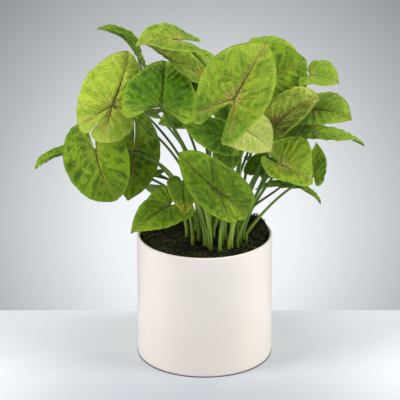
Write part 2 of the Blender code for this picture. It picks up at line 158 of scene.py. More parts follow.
# Veins: where each starts, bends and ends in the flat of the blade (its midrib 1 long, along x), and
# its strength. All but the midrib are on both halves
MIDRIB = ((0.0, 0.0), (0.5, 0.0), (0.985, 0.0), 1.0)
SIDE_VEINS = (
    ((0.00, 0.00), (-0.20, 0.160), (-0.470, 0.275), 0.80),
    ((0.00, 0.00), (-0.02, 0.280), (0.020, 0.560), 0.50),
    ((0.00, 0.00), (0.12, 0.270), (0.262, 0.540), 0.60),
    ((0.08, 0.00), (0.23, 0.190), (0.455, 0.462), 0.56),
    ((0.25, 0.00), (0.39, 0.160), (0.602, 0.372), 0.48),
    ((0.42, 0.00), (0.54, 0.125), (0.708, 0.276), 0.42),
    ((0.58, 0.00), (0.68, 0.085), (0.798, 0.190), 0.36),
    ((0.73, 0.00), (0.79, 0.050), (0.862, 0.112), 0.30),
    ((-0.12, 0.100), (-0.15, 0.310), (-0.190, 0.525), 0.42),
    ((-0.23, 0.175), (-0.29, 0.310), (-0.368, 0.445), 0.38),
    ((-0.32, 0.222), (-0.41, 0.290), (-0.495, 0.352), 0.34),
    ((-0.21, 0.163), (-0.38, 0.170), (-0.540, 0.190), 0.34),
)
VEIN_STEPS = 9
VEIN_SIDES = 5
VEIN_RADIUS = 0.00098
VEIN_LEAST = 0.00012
VEIN_SWELL = 1.5
VEIN_TAPER = 0.8
VEIN_FLATNESS = 0.45
VEIN_JITTER = 0.016
VEIN_SEED = 400
VEIN_SUNK = 0.42
VEIN_SHARES = (0.02, 0.985)
RIB_RADIUS = 0.00130
RIB_LEAST_STRENGTH = 0.4

# Steps that find the normal under a vein: a turn in degrees, taken backwards beyond its end, and a reach
NORMAL_TURN = 1.5
NORMAL_TURN_END = 160
NORMAL_REACH = 0.01

Leaf = namedtuple("Leaf", "name joint tip face width lobes bend back fold curl notch skew uneven full")


def leaf(name, joint, tip, face, width=1.0, lobes=1.0, bend=30, back=20, fold=12, curl=15,
         notch=13, skew=0, uneven=0, full=0):
    """One leaf: where its stalk meets the blade, its tip, and a vector that its upper face looks along.

    width and lobes stretch the outline, bend and back are the droop of its tip and its lobes, fold lifts
    its two halves and curl turns their edges down (degrees), notch is half the angle between its lobes,
    skew turns both lobes to one side, uneven widens the left half and narrows the right one, and full
    rounds the shoulders.
    """
    return Leaf(name, Vector(joint) * MM, Vector(tip) * MM, Vector(face).normalized(), width, lobes,
                math.radians(bend), math.radians(back), math.radians(fold), math.radians(curl),
                notch, skew, uneven, full)


LEAVES = [
    # The front of the crown, from the top down
    leaf("leaf_01", (31, -68, 323), (67, -46, 380), (-0.18, -0.98, 0.30), width=0.85, lobes=1.12, bend=30,
         back=8, fold=10, curl=6, notch=18, skew=7, uneven=0.10, full=0.15),
    leaf("leaf_02", (-100, -28, 302), (-84, 22, 348), (0.45, -1.0, 0.60), width=0.93, lobes=0.84, bend=65,
         back=-25, fold=3, curl=55, notch=-3, skew=16, full=0.1),
    leaf("leaf_03", (-47, -40, 307), (-43, 32, 335), (0.12, -0.45, 1.0), width=0.86, lobes=0.70, bend=25,
         back=-10, notch=42, uneven=0.06, full=0.05),
    leaf("leaf_04", (-28, -4, 370), (-75, -16, 367), (0.0, -0.22, 1.0), width=1.02, lobes=1.0, bend=45,
         back=8, fold=10, uneven=-0.1, full=0.08),
    leaf("leaf_05", (6, 12, 319), (-63, 12, 361), (0.3, -0.25, 1.0), width=0.82, lobes=0.85, bend=12,
         back=0, fold=15, uneven=-0.16),
    leaf("leaf_06", (-74, 62, 332), (-119, 55, 368), (0.6, 0.0, 0.8), width=0.5, lobes=0.5, bend=60, fold=22),
    leaf("leaf_07", (72, 30, 314), (114, 54, 330), (0.05, -1.0, 0.35), width=1.15, lobes=0.6, bend=30,
         fold=8, full=0.1),
    leaf("leaf_08", (66, 70, 337), (103, 80, 331), (0.10, -0.3, 1.0), lobes=0.8, bend=50),
    leaf("leaf_09", (117, 26, 320), (148, 10, 316), (0.2, -0.6, 0.9), width=1.1, lobes=0.35, bend=40,
         fold=20),
    leaf("leaf_10", (120, 15, 284), (162, -5, 279), (0.30, -0.6, 0.9), width=1.08, lobes=0.8, bend=45),
    leaf("leaf_11", (77, -22, 278), (127, -10, 307), (-0.10, -0.46, 0.88), width=0.88, lobes=0.4, bend=54,
         back=40, fold=20, curl=50, notch=30, skew=18, uneven=0.42, full=0.18),
    leaf("leaf_12", (121, 42, 248), (181, 36, 235), (0.2, 0.05, 1.0), width=0.8, bend=35, fold=8),
    leaf("leaf_13", (42, -50, 284), (73, -62, 262), (0.2, -0.8, 0.7), width=1.15, lobes=0.6, bend=40),
    leaf("leaf_14", (23, -28, 266), (-25, -35, 281), (-0.1, -0.5, 1.0), width=0.85, lobes=0.6, bend=20,
         uneven=0.1, full=0.1),
    leaf("leaf_15", (17, -80, 220), (-29, -50, 257), (-0.05, -0.99, 0.12), width=0.68, lobes=0.95, bend=57,
         back=38, fold=21, curl=10, notch=1, skew=28, uneven=-0.15, full=-0.02),
    leaf("leaf_16", (-38, -47, 195), (-80, -79, 174), (-0.25, -0.75, 0.75), width=0.8, lobes=0.65, bend=30,
         uneven=0.1, full=-0.06),
    leaf("leaf_17", (-121, -12, 246), (-99, -16, 186), (-0.15, -1.0, 0.25), width=0.84, lobes=1.15, bend=80,
         back=40, notch=10, skew=4, full=0.1),
    leaf("leaf_18", (-78, 4, 239), (-85, -15, 187), (0.35, -0.9, 0.3), width=0.9, lobes=1.25, bend=25,
         back=10, notch=-2),
    leaf("leaf_19", (-148, 22, 231), (-190, 12, 215), (-0.3, 0.1, 1.0), width=0.7, bend=40, fold=25),
    leaf("leaf_20", (84, -50, 242), (119, -50, 220), (0.63, -0.53, 0.56), width=1.26, lobes=0.84, bend=57,
         back=-22, fold=-3, curl=3, notch=-3, skew=13, uneven=0.45, full=0.14),
    leaf("leaf_21", (121, -11, 214), (124, 1, 251), (0.5, -0.85, 0.2), bend=30, width=0.6, lobes=0.4),
    leaf("leaf_22", (88, 10, 198), (131, 0, 178), (0.2, 0.1, 1.0), bend=60, width=0.7),
    leaf("leaf_23", (26, 5, 245), (29, -12, 220), (0.0, -0.9, 0.5), bend=20, lobes=0.8),
    leaf("leaf_24", (90, 25, 255), (127, 35, 264), (0.1, -0.3, 1.0), bend=20),
    leaf("leaf_25", (35, 44, 258), (6, 44, 276), (0.0, -0.55, 0.8), bend=30, lobes=0.8),
    leaf("leaf_26", (-24, -60, 227), (-20, -71, 193), (0.0, -1.0, 0.3), bend=25, width=0.8, lobes=0.35),
    leaf("leaf_27", (60, 12, 212), (66, 4, 242), (0.1, -0.9, 0.5), bend=20, width=0.9, lobes=0.5),
    # The sides and the back of the crown
    leaf("leaf_28", (-90, 78, 284), (-140, 105, 270), (-0.4, 0.3, 1.0), bend=45),
    leaf("leaf_29", (-50, 98, 296), (-58, 142, 286), (-0.1, 0.5, 1.0), bend=45, width=0.7),
    leaf("leaf_30", (44, 100, 304), (58, 156, 292), (0.1, 0.5, 1.0), bend=40),
    leaf("leaf_31", (82, 96, 296), (118, 140, 279), (0.4, 0.5, 0.9), bend=45),
    leaf("leaf_32", (105, 80, 262), (158, 105, 246), (0.5, 0.3, 0.8), bend=40),
    leaf("leaf_33", (-100, 62, 216), (-146, 85, 194), (-0.6, 0.3, 0.8), bend=45),
    leaf("leaf_34", (-58, 100, 255), (-88, 148, 222), (-0.3, 0.8, 0.6), bend=40),
    leaf("leaf_35", (5, 115, 262), (0, 165, 226), (0.0, 0.9, 0.6), bend=40),
    leaf("leaf_36", (62, 108, 232), (84, 150, 196), (0.3, 0.9, 0.5), bend=40),
    leaf("leaf_37", (74, 88, 200), (88, 125, 172), (0.2, 0.9, 0.6), bend=35),
    leaf("leaf_38", (-42, 80, 168), (-58, 117, 142), (-0.2, 0.9, 0.6), bend=35),
    leaf("leaf_39", (-64, 22, 205), (-84, 18, 181), (-0.4, -0.4, 1.0), width=0.8, bend=35),
    leaf("leaf_40", (-8, 38, 303), (-42, 38, 325), (-0.1, -0.5, 0.8), bend=35, lobes=0.6),
    leaf("leaf_41", (-20, 42, 270), (-52, 40, 257), (-0.1, -0.55, 0.8), bend=40),
]


def tone(red, green, blue):
    """A colour as it shows on a screen, 0 to 255, as the linear values that a shader takes."""
    return tuple(v / 12.92 if v <= 0.04045 else ((v + 0.055) / 1.055) ** 2.4
                 for v in (red / 255, green / 255, blue / 255)) + (1.0,)


# The looks of the leaves: blade in its light and dark patches, near its joint and veins, at its edge
# and on its lobes, where its colour is painted light and shade; its main and its side veins; and how strongly
# the patches show
Look = namedtuple("Look", "light dark glow edge lobe vein side patches")


def look_from(patches, *colours):
    """A look from the strength of its patches and its seven colours as they show on a screen."""
    return Look(*(tone(*colour) for colour in colours), patches)


LOOKS = {
    "fresh": look_from(0.85, (160, 190, 42), (86, 128, 14), (198, 184, 92), (180, 206, 66), (122, 170, 46),
                       (92, 30, 22), (128, 66, 44)),
    "even": look_from(0.70, (158, 194, 54), (116, 162, 30), (176, 182, 78), (182, 208, 66), (172, 200, 60),
                      (74, 52, 26), (112, 128, 44)),
    "gold": look_from(0.75, (198, 220, 68), (134, 176, 32), (216, 206, 96), (206, 222, 84), (190, 212, 86),
                      (46, 36, 16), (120, 126, 44)),
    "pale": look_from(0.70, (230, 242, 128), (170, 206, 66), (226, 228, 138), (232, 240, 132),
                      (232, 240, 132), (92, 84, 36), (150, 160, 70)),
    "middle": look_from(0.82, (144, 184, 28), (80, 130, 14), (156, 164, 56), (170, 208, 44), (166, 202, 44),
                        (52, 32, 18), (82, 92, 28)),
    "dusky": look_from(0.90, (124, 164, 20), (66, 104, 10), (138, 144, 46), (156, 190, 36), (172, 204, 48),
                       (48, 26, 16), (76, 76, 26)),
    "wine": look_from(0.92, (156, 180, 54), (80, 96, 16), (132, 72, 54), (208, 224, 92), (206, 222, 88),
                      (78, 16, 24), (104, 38, 38)),
    "mottled": look_from(0.92, (142, 178, 22), (64, 100, 8), (176, 190, 62), (140, 182, 28), (108, 154, 22),
                         (100, 44, 28), (140, 160, 56)),
    "deep": look_from(0.85, (114, 164, 24), (54, 98, 12), (138, 166, 48), (172, 206, 54), (186, 212, 66),
                      (40, 44, 18), (86, 120, 38)),
    "yellowing": look_from(0.60, (120, 156, 26), (78, 112, 14), (88, 116, 24), (214, 212, 62), (64, 96, 14),
                           (84, 84, 24), (130, 136, 34)),
}
LEAF_LOOKS = {
    "fresh": (1, 4, 5, 20, 30, 34, 36),
    "even": (8, 9, 10, 12),
    "gold": (2, 29, 33),
    "pale": (13,),
    "dusky": (6, 15, 16, 21, 24, 32, 37),
    "wine": (11, 31),
    "mottled": (7, 17, 18, 28, 35),
    "deep": (3, 14, 23, 25, 27, 39, 40, 41),
    "yellowing": (26,),
}


def look_of(number):
    """The name of a leaf's look; the leaves that LEAF_LOOKS leaves out are middling green."""
    return next((name for name, numbers in LEAF_LOOKS.items() if number in numbers), "middle")


def soft_steps(table, where):
    """Reads a table of (position, value) pairs with a smooth curve through them."""
    last = len(table) - 1
    for index in range(last):
        start, end = table[index], table[index + 1]
        if where <= end[0] or index == last - 1:
            break
    before = table[index - 1] if index else start
    after = table[index + 2] if index + 2 <= last else end
    span = end[0] - start[0]
    t = min(max((where - start[0]) / span, 0.0), 1.0)
    slope_in = (end[1] - before[1]) / (end[0] - before[0]) * span
    slope_out = (after[1] - start[1]) / (after[0] - start[0]) * span
    return ((2 * t ** 3 - 3 * t ** 2 + 1) * start[1] + (t ** 3 - 2 * t ** 2 + t) * slope_in
            + (3 * t ** 2 - 2 * t ** 3) * end[1] + (t ** 3 - t ** 2) * slope_out)


def arc(distance, curvature):
    """Goes a distance along an arc: how far forward, and how far it has fallen."""
    if abs(curvature) < 1e-6:
        return distance, 0.0
    return math.sin(curvature * distance) / curvature, (1 - math.cos(curvature * distance)) / curvature


def blade_axes(plant_leaf):
    """The midrib's length and the blade's forward, side and up directions at the joint."""
    chord = plant_leaf.tip - plant_leaf.joint
    ahead = chord.normalized()
    normal = (plant_leaf.face - ahead * plant_leaf.face.dot(ahead)).normalized()
    half = plant_leaf.bend / 2
    length = chord.length * (half / math.sin(half) if half > 1e-4 else 1.0)
    forward = ahead * math.cos(half) + normal * math.sin(half)
    up = normal * math.cos(half) - ahead * math.sin(half)
    return length, forward, forward.cross(up), up


def blade_point(plant_leaf, axes, angle, share):
    """A point midway through the blade: angle in degrees from the midrib, share of the way to the edge."""
    length, forward, side, up = axes
    turn = angle * (180 - plant_leaf.notch) / OUTLINE_END + plant_leaf.skew * abs(angle) / OUTLINE_END
    reach = share * soft_steps(HALF_OUTLINE, abs(angle)) * length
    shoulder = min(abs(angle), SHOULDER_END) * 180 / SHOULDER_END
    reach *= 1 + plant_leaf.full * math.sin(math.radians(shoulder))
    along = reach * math.cos(math.radians(turn))
    across = reach * math.sin(math.radians(turn)) * plant_leaf.width
    across *= 1 - plant_leaf.uneven if angle > 0 else 1 + plant_leaf.uneven
    mirror = -1 if across < 0 else 1
    across = abs(across)
    if along < 0:
        along *= plant_leaf.lobes
        curvature = plant_leaf.back / (LOBE_SHARE * length)
    else:
        curvature = plant_leaf.bend / length
    ahead, fall = arc(along, curvature)
    tilt = curvature * along
    out, sag = arc(across, plant_leaf.curl / (CURL_SHARE * length))
    sideways = mirror * (out * math.cos(plant_leaf.fold) + sag * math.sin(plant_leaf.fold))
    height = out * math.sin(plant_leaf.fold) - sag * math.cos(plant_leaf.fold)
    height += EDGE_WAVE * share ** 2 * math.sin(math.radians(angle * EDGE_WAVES_TURN) + 9 * plant_leaf.width)
    local_up = up * math.cos(tilt) + forward * math.sin(tilt)
    return plant_leaf.joint + forward * ahead - up * fall + side * sideways + local_up * height


def blade_net(rays, rings):
    """Faces of a blade's net, facing up, and its edge: one point at the joint, then rings of rays."""
    count = 2 * len(rays) - 1
    faces = [(0, 2 + ray, 1 + ray) for ray in range(count - 1)]
    for ring in range(len(rings) - 1):
        for ray in range(count - 1):
            inner = 1 + ring * count + ray
            outer = inner + count
            faces.append((inner, inner + 1, outer + 1, outer))
    start = 1 + (len(rings) - 1) * count
    edge = [0] + [1 + ring * count for ring in range(len(rings))]
    edge += [start + ray for ray in range(1, count)]
    edge += [count * (ring + 1) for ring in reversed(range(len(rings) - 1))]
    return faces, edge


def ray_angles(rays):
    """The angles of both halves, from the left lobe over the tip to the right one."""
    return [-ray for ray in reversed(rays[1:])] + list(rays)


def blade_sheet(plant_leaf):
    """The frame's own coarse blade: its points, triangles and edge."""
    axes = blade_axes(plant_leaf)
    points = [plant_leaf.joint.copy()]
    for share in BLADE_RINGS:
        points += [blade_point(plant_leaf, axes, angle, share) for angle in ray_angles(BLADE_RAYS)]
    faces, edge = blade_net(BLADE_RAYS, BLADE_RINGS)
    triangles = [face for face in faces if len(face) == 3]
    for a, b, c, d in (face for face in faces if len(face) == 4):
        triangles += [(a, c, d), (a, b, c)]
    return points, triangles, edge


def thick_sheet(points, faces, edge, thickness):
    """A closed solid round a sheet, with the same triangles on both of its sides."""
    normals = [Vector((0, 0, 0)) for _ in points]
    for face in faces:
        a, b, c = (points[index] for index in face)
        cross = (b - a).cross(c - a)
        for index in face:
            normals[index] += cross
    half = thickness / 2
    count = len(points)
    upper = [point + normal.normalized() * half for point, normal in zip(points, normals)]
    lower = [point - normal.normalized() * half for point, normal in zip(points, normals)]
    solid = [tuple(face) for face in faces]
    solid += [(c + count, b + count, a + count) for a, b, c in faces]
    for here, there in zip(edge, edge[1:] + edge[:1]):
        solid += [(here, there, there + count), (here, there + count, here + count)]
    return upper + lower, solid


def tube(path, radii, sides):
    """A closed tube along a path, with a radius at each of its points."""
    points, faces = [], []
    first = (path[1] - path[0]).normalized()
    across = first.cross(Vector((1, 0, 0))).normalized()
    for index, centre in enumerate(path):
        before = path[max(index - 1, 0)]
        after = path[min(index + 1, len(path) - 1)]
        along = (after - before).normalized()
        across = (across - along * across.dot(along)).normalized()
        third = along.cross(across)
        for side in range(sides):
            turn = 2 * math.pi * side / sides
            points.append(centre + (across * math.cos(turn) + third * math.sin(turn)) * radii[index])
    for ring in range(len(path) - 1):
        for side in range(sides):
            a = ring * sides + side
            b = ring * sides + (side + 1) % sides
            faces += [(a, b, b + sides), (a, b + sides, a + sides)]
    last = (len(path) - 1) * sides
    for side in range(1, sides - 1):
        faces.append((0, side + 1, side))
        faces.append((last, last + side, last + side + 1))
    return points, faces


def soil_height(x, y):
    """Height of the soil's surface: low at the wall, with a broad uneven mound."""
    share = min(math.hypot(x, y) / (POT_RADIUS - POT_WALL), 1.0)
    uneven = SOIL_UNEVEN * math.sin(x * SOIL_WAVES[0] + 1.0) * math.cos(y * SOIL_WAVES[1]) * (1 - share)
    return POT_HEIGHT - SOIL_BELOW_RIM + SOIL_MOUND * (1 - share ** 2) + uneven


def free_roots(used):
    """Places for a stalk in the soil, on a staggered net, that no other stalk has taken."""
    roots = []
    rows = int(ROOT_LIMIT / ROOT_SPACING) + 1
    for row in range(-rows, rows + 1):
        for column in range(-rows, rows + 1):
            shift = 0.5 * (row % 2)
            x = (column + shift) * ROOT_SPACING
            y = row * ROOT_SPACING * ROOT_ROW_SHARE
            if math.hypot(x, y) < ROOT_LIMIT and (row, column) not in used:
                roots.append(((row, column), Vector((x, y, soil_height(x, y)))))
    return roots


def stalk_path(plant_leaf, root, lean, swing, bow, steps=STALK_STEPS):
    """A stalk's centre line: straight in the soil, one curve to the joint, then a little under the midrib."""
    length, forward, side, up = blade_axes(plant_leaf)
    bottom = root - Vector((0, 0, ROOT_DEPTH))
    start = root + Vector((0, 0, STALK_STRAIGHT))
    joint = plant_leaf.joint - up * STALK_JOINT_DROP
    span = (joint - start).length
    leaving = Vector((0, 0, 1)).lerp((joint - start).normalized(), lean).normalized()
    arriving = (up * STALK_ARRIVING[0] + forward * STALK_ARRIVING[1] + side * swing).normalized()
    spread = Vector((joint.x - start.x, joint.y - start.y, 0))
    outward = spread.normalized()
    sideways = Vector((-outward.y, outward.x, 0))
    bend = sideways * bow[0] + outward * bow[1]
    arch = STALK_ARCH[0] if joint.x < 0 else STALK_ARCH[1]
    near = start + leaving * span * (STALK_NEAR_PULL + STALK_NEAR_PULL * arch) + bend
    far = joint - arriving * span * STALK_FAR_PULL - spread * arch + bend
    path = [bottom, start]
    for step in range(1, steps + 1):
        t = step / steps
        early = start * (1 - t) ** 3 + near * 3 * t * (1 - t) ** 2
        late = far * 3 * t * t * (1 - t) + joint * t ** 3
        path.append(early + late)
    path.append(joint + forward * STALK_UNDER_BLADE * length + up * 0.5 * STALK_JOINT_DROP)
    return path


def stalk_radii(count):
    """The stalk's radius at each point of its path: it tapers to the blade and ends slim under the midrib."""
    taper = (STALK_TOP_RADIUS - STALK_RADIUS) / (count - 3)
    radii = [STALK_RADIUS, STALK_RADIUS]
    radii += [STALK_RADIUS + taper * step for step in range(1, count - 2)]
    return radii + [STALK_END_RADIUS]


def tree_of(meshes):
    """One search tree over several meshes."""
    points, faces = [], []
    for mesh_points, mesh_faces in meshes:
        faces += [tuple(index + len(points) for index in face) for face in mesh_faces]
        points += mesh_points
    return BVHTree.FromPolygons(points, faces)


def stalk_bows():
    """Sideways and outward bends that a stalk may take, the slightest first."""
    bows = [(0, 0)]
    for reach in STALK_BOWS:
        bows += [(reach, 0), (-reach, 0), (0, reach), (0, -reach)]
        bows += [(reach, -reach), (-reach, -reach), (reach, reach), (-reach, reach)]
    return bows


def wide_stalk(path, points):
    """The first points of a stalk as a tube with clear air round it."""
    radii = [radius + STALK_CLEARANCE for radius in stalk_radii(len(path))]
    return tube(path[:points], radii[:points], STALK_SIDES)


def clear_way(plant_leaf, roots, own, others):
    """The first root, lean, swing and bow whose stalk touches nothing but its own blade at the joint."""
    upright, leaning = STALK_LEAN[0] if plant_leaf.joint.x < 0 else STALK_LEAN[1]
    leans = ((upright, 0), (leaning, 0), (upright - STALK_LESS_LEAN, 0), (upright, STALK_SWING),
             (upright, -STALK_SWING))
    for bow in stalk_bows():
        for cell, root in roots[:ROOT_CHOICES]:
            for lean, swing in leans:
                path = stalk_path(plant_leaf, root, lean, swing, bow)
                if tree_of([wide_stalk(path, len(path))]).overlap(others):
                    continue
                if tree_of([wide_stalk(path, len(path) - 2)]).overlap(own):
                    continue
                return cell, (root, lean, swing, bow)
    raise ValueError(f"{plant_leaf.name} has no clear way to the soil")


def route_stalks(leaves):
    """Finds each leaf the root and the way of its stalk that the frame's own stalk has."""
    sheets = [blade_sheet(plant_leaf) for plant_leaf in leaves]
    blades = [thick_sheet(points, faces, edge, BLADE_THICKNESS) for points, faces, edge in sheets]
    used, placed, ways = set(), [], []
    for number, plant_leaf in enumerate(leaves):
        wished_x = ROOT_CENTRE[0] + ROOT_SPREAD[0] * plant_leaf.joint.x
        wished_y = ROOT_CENTRE[1] + ROOT_SPREAD[1] * plant_leaf.joint.y
        roots = free_roots(used)
        roots.sort(key=lambda item: math.hypot(item[1].x - wished_x, item[1].y - wished_y))
        others = tree_of(blades[:number] + blades[number + 1:] + placed)
        cell, way = clear_way(plant_leaf, roots, tree_of([blades[number]]), others)
        used.add(cell)
        ways.append(way)
        path = stalk_path(plant_leaf, *way)
        placed.append(wide_stalk(path, len(path)))
    return ways


def add_object(name, data):
    """A new object in the scene, from a mesh, a camera or a light."""
    made = bpy.data.objects.new(name, data)
    bpy.context.scene.collection.objects.link(made)
    return made


def add_mesh(name, points, faces, materials):
    """A new mesh object in the scene."""
    mesh = bpy.data.meshes.new(name)
    mesh.from_pydata(points, [], faces)
    for finish in materials:
        mesh.materials.append(finish)
    return add_object(name, mesh)


def grain_spot(x, y, z):
    """A flat spot as its places along and across the side veins, with the two halves set apart in z."""
    along, across = GRAIN_HEADING
    return along * x + across * abs(y), across * x - along * abs(y), z + GRAIN_HALVES * (y < 0)


class Shell:
    """The points, faces and values of one piece, gathered from its parts and then made a mesh."""

    def __init__(self):
        self.points = []
        self.faces = []
        self.finishes = []
        self.values = {"flat": [], "grain": [], "vein": [], "between": [], "under": [], "outward": []}

    def add(self, points, faces, finish, flat, vein=0.0, between=0.0, under=0.0, outward=0.0):
        base, count = len(self.points), len(points)
        self.points += [tuple(point) for point in points]
        self.faces += [tuple(index + base for index in face) for face in faces]
        self.finishes += [finish] * len(faces)
        self.values["flat"] += [tuple(spot) for spot in flat]
        self.values["grain"] += [grain_spot(*spot) for spot in flat]
        for name, value in (("vein", vein), ("between", between), ("under", under), ("outward", outward)):
            self.values[name] += [float(v) for v in np.broadcast_to(value, count)]

    def make(self, name, materials):
        made = add_mesh(name, self.points, self.faces, materials)
        made.data.polygons.foreach_set("material_index", self.finishes)
        for key, values in self.values.items():
            kind, field = ("FLOAT_VECTOR", "vector") if key in ("flat", "grain") else ("FLOAT", "value")
            stored = made.data.attributes.new(key, kind, "POINT")
            stored.data.foreach_set(field, np.array(values, dtype=np.float32).ravel())
        made.data.shade_smooth()
        return made


def fine_rays():
    """Angles of the fine rays, spread evenly along the outline."""
    last = int(OUTLINE_STEPS * FINE_END / OUTLINE_END)
    fine = [OUTLINE_END * step / OUTLINE_STEPS for step in range(last + 1)]
    spots = [flat_spot(angle, 1.0) for angle in fine]
    lengths = [0.0]
    for (x, y), (next_x, next_y) in zip(spots, spots[1:]):
        lengths.append(lengths[-1] + math.hypot(next_x - x, next_y - y))
    wanted = [lengths[-1] * step / FINE_RAYS for step in range(FINE_RAYS + 1)]
    return [float(angle) for angle in np.interp(wanted, lengths, fine)]


def flat_spot(angle, share):
    """A spot in the flat of the blade, with the midrib 1 long along x."""
    reach = share * soft_steps(HALF_OUTLINE, abs(angle))
    return reach * math.cos(math.radians(angle)), reach * math.sin(math.radians(angle))


def curve_spots(start, bend, end, steps):
    """Spots along a curve in the flat of the blade."""
    spots = []
    for step in range(steps + 1):
        t = step / steps
        spots.append(tuple(a * (1 - t) ** 2 + b * 2 * t * (1 - t) + c * t * t
                           for a, b, c in zip(start, bend, end)))
    return spots


def vein_lines(number):
    """Every vein of a blade as its spots in the flat, its strength, and whether it is a main one."""
    drawn = random.Random(VEIN_SEED + number)
    lines = [(curve_spots(*MIDRIB[:3], 2 * VEIN_STEPS), MIDRIB[3], True)]
    for mirror in (1, -1):
        for place, (start, bend, end, strength) in enumerate(SIDE_VEINS):
            shift = drawn.uniform(-VEIN_JITTER, VEIN_JITTER)
            on_midrib = start[1] == 0 and start[0] > 0
            first = (start[0] + shift if on_midrib else start[0], mirror * start[1])
            middle = (bend[0] + shift, mirror * bend[1])
            last = (end[0] + 0.5 * shift, mirror * end[1])
            lines.append((curve_spots(first, middle, last, VEIN_STEPS), strength, place == 0))
    return lines


def nearest(spots, lines):
    """How far each spot is from the nearest of a set of lines."""
    best = np.full(len(spots), 9.0)
    for line in lines:
        starts, ends = np.array(line[:-1]), np.array(line[1:])
        run = ends - starts
        offset = spots[:, None, :] - starts[None]
        t = np.clip((offset * run).sum(axis=2) / (run * run).sum(axis=1), 0, 1)
        gap = np.linalg.norm(offset - t[..., None] * run, axis=2)
        best = np.minimum(best, gap.min(axis=1))
    return best


def slow_waves(spots, seed):
    """A gentle unevenness over the flat of the blade, mostly between -1 and 1."""
    drawn = random.Random(seed)
    total = np.zeros(len(spots))
    for octave in range(WAVE_OCTAVES):
        heading = drawn.uniform(0, 2 * math.pi)
        phase = drawn.uniform(0, 2 * math.pi)
        run = spots[:, 0] * math.cos(heading) + spots[:, 1] * math.sin(heading)
        turn = 2 * math.pi * run * WAVE_QUICKER ** octave / WAVE_LENGTH
        total += np.sin(turn + phase) / WAVE_LOWER ** octave
    return total / 2


class Blade:
    """One fine blade: its middle surface with veins, cushions and waves."""

    def __init__(self, number, plant_leaf):
        self.number = number
        self.leaf = plant_leaf
        self.axes = blade_axes(plant_leaf)
        self.size = self.axes[0] / USUAL_MIDRIB
        self.veins = vein_lines(number)

    def relief(self, spots):
        """At spots in the flat: how far the surface is raised, and how much it is a vein's or a cushion's."""
        spots = np.asarray(spots)
        main = nearest(spots, [line for line, _, is_main in self.veins if is_main])
        every = np.minimum(main, nearest(spots, [line for line, _, is_main in self.veins if not is_main]))
        between = 1 - np.exp(-(every / CUSHION_REACH) ** 2)
        groove = np.exp(-(main / GROOVE_REACH) ** 2)
        lift = self.size * (CUSHION * (between - CUSHION_SUNK) - GROOVE * groove)
        lift += WAVE * slow_waves(spots, WAVE_SEED + self.number)
        angle = np.degrees(np.arctan2(spots[:, 1], spots[:, 0]))
        reach = np.clip(np.hypot(spots[:, 0], spots[:, 1]) / EDGE_REACH, 0, 1.1)
        lift += EDGE_FRILL * reach ** 5 * np.sin(np.radians(angle * FRILLS) + self.number)
        near_main = np.exp(-(main / MAIN_VEIN_REACH) ** 2)
        near = np.maximum(near_main, VEIN_NEARNESS * np.exp(-(every / VEIN_REACH) ** 2))
        return lift, near, between

    def point(self, x, y):
        """The raised surface and its normal at a spot in the flat."""
        angle = min(max(math.degrees(math.atan2(y, x)), -FINE_END), FINE_END)
        share = math.hypot(x, y) / soft_steps(HALF_OUTLINE, abs(angle))
        share = min(max(share, VEIN_SHARES[0]), VEIN_SHARES[1])
        here = blade_point(self.leaf, self.axes, angle, share)
        step = NORMAL_TURN if angle < NORMAL_TURN_END else -NORMAL_TURN
        turned = blade_point(self.leaf, self.axes, angle + step, share) - here
        outer = blade_point(self.leaf, self.axes, angle, share + NORMAL_REACH) - here
        normal = turned.cross(outer) if angle < NORMAL_TURN_END else outer.cross(turned)
        return here, normal.normalized()

    def sheet(self):
        """The fine middle surface: points, flat spots, shares of the way to the edge, veins and cushions."""
        angles = ray_angles(RAYS)
        points = [self.leaf.joint.copy()]
        spots = [(0.0, 0.0)]
        shares = [0.0]
        for share in RINGS:
            for angle in angles:
                points.append(blade_point(self.leaf, self.axes, angle, share))
                spots.append(flat_spot(angle, share))
                shares.append(share)
        points = np.array([tuple(point) for point in points])
        lift, near, between = self.relief(spots)
        points += normals_of(points) * lift[:, None]
        return points, np.array(spots), np.array(shares), near, between


def normals_of(points):
    """Smooth normals of a fine blade's points."""
    a, b, c = (points[TRIANGLES[:, corner]] for corner in range(3))
    cross = np.cross(b - a, c - a)
    normals = np.zeros_like(points)
    for corner in range(3):
        np.add.at(normals, TRIANGLES[:, corner], cross)
    return normals / np.linalg.norm(normals, axis=1)[:, None]


RAYS = fine_rays()
RINGS = [(step + 1) / FINE_RINGS for step in range(FINE_RINGS)]
NET, EDGE = blade_net(RAYS, RINGS)
TRIANGLES = np.array([(face[0], face[i], face[i + 1]) for face in NET for i in range(1, len(face) - 1)])


def add_blade(shell, blade):
    """The blade as a thin closed sheet that gets thinner to its edge."""
    points, spots, shares, near, between = blade.sheet()
    normals = normals_of(points)
    half = (MIDDLE_THICKNESS + (EDGE_THICKNESS - MIDDLE_THICKNESS) * shares ** 3) / 2
    upper = points + normals * half[:, None]
    lower = points - normals * half[:, None]
    count = len(points)
    faces = list(NET) + [tuple(index + count for index in reversed(face)) for face in NET]
    for here, there in zip(EDGE, EDGE[1:] + EDGE[:1]):
        faces.append((here, here + count, there + count, there))
    flat = [(x, y, NOISE_STEP * blade.number) for x, y in spots]
    shell.add(list(upper) + list(lower), faces, 0, flat + flat, vein=np.tile(near, 2),
              between=np.tile(between, 2), under=np.repeat((0.0, 1.0), count), outward=np.tile(shares, 2))


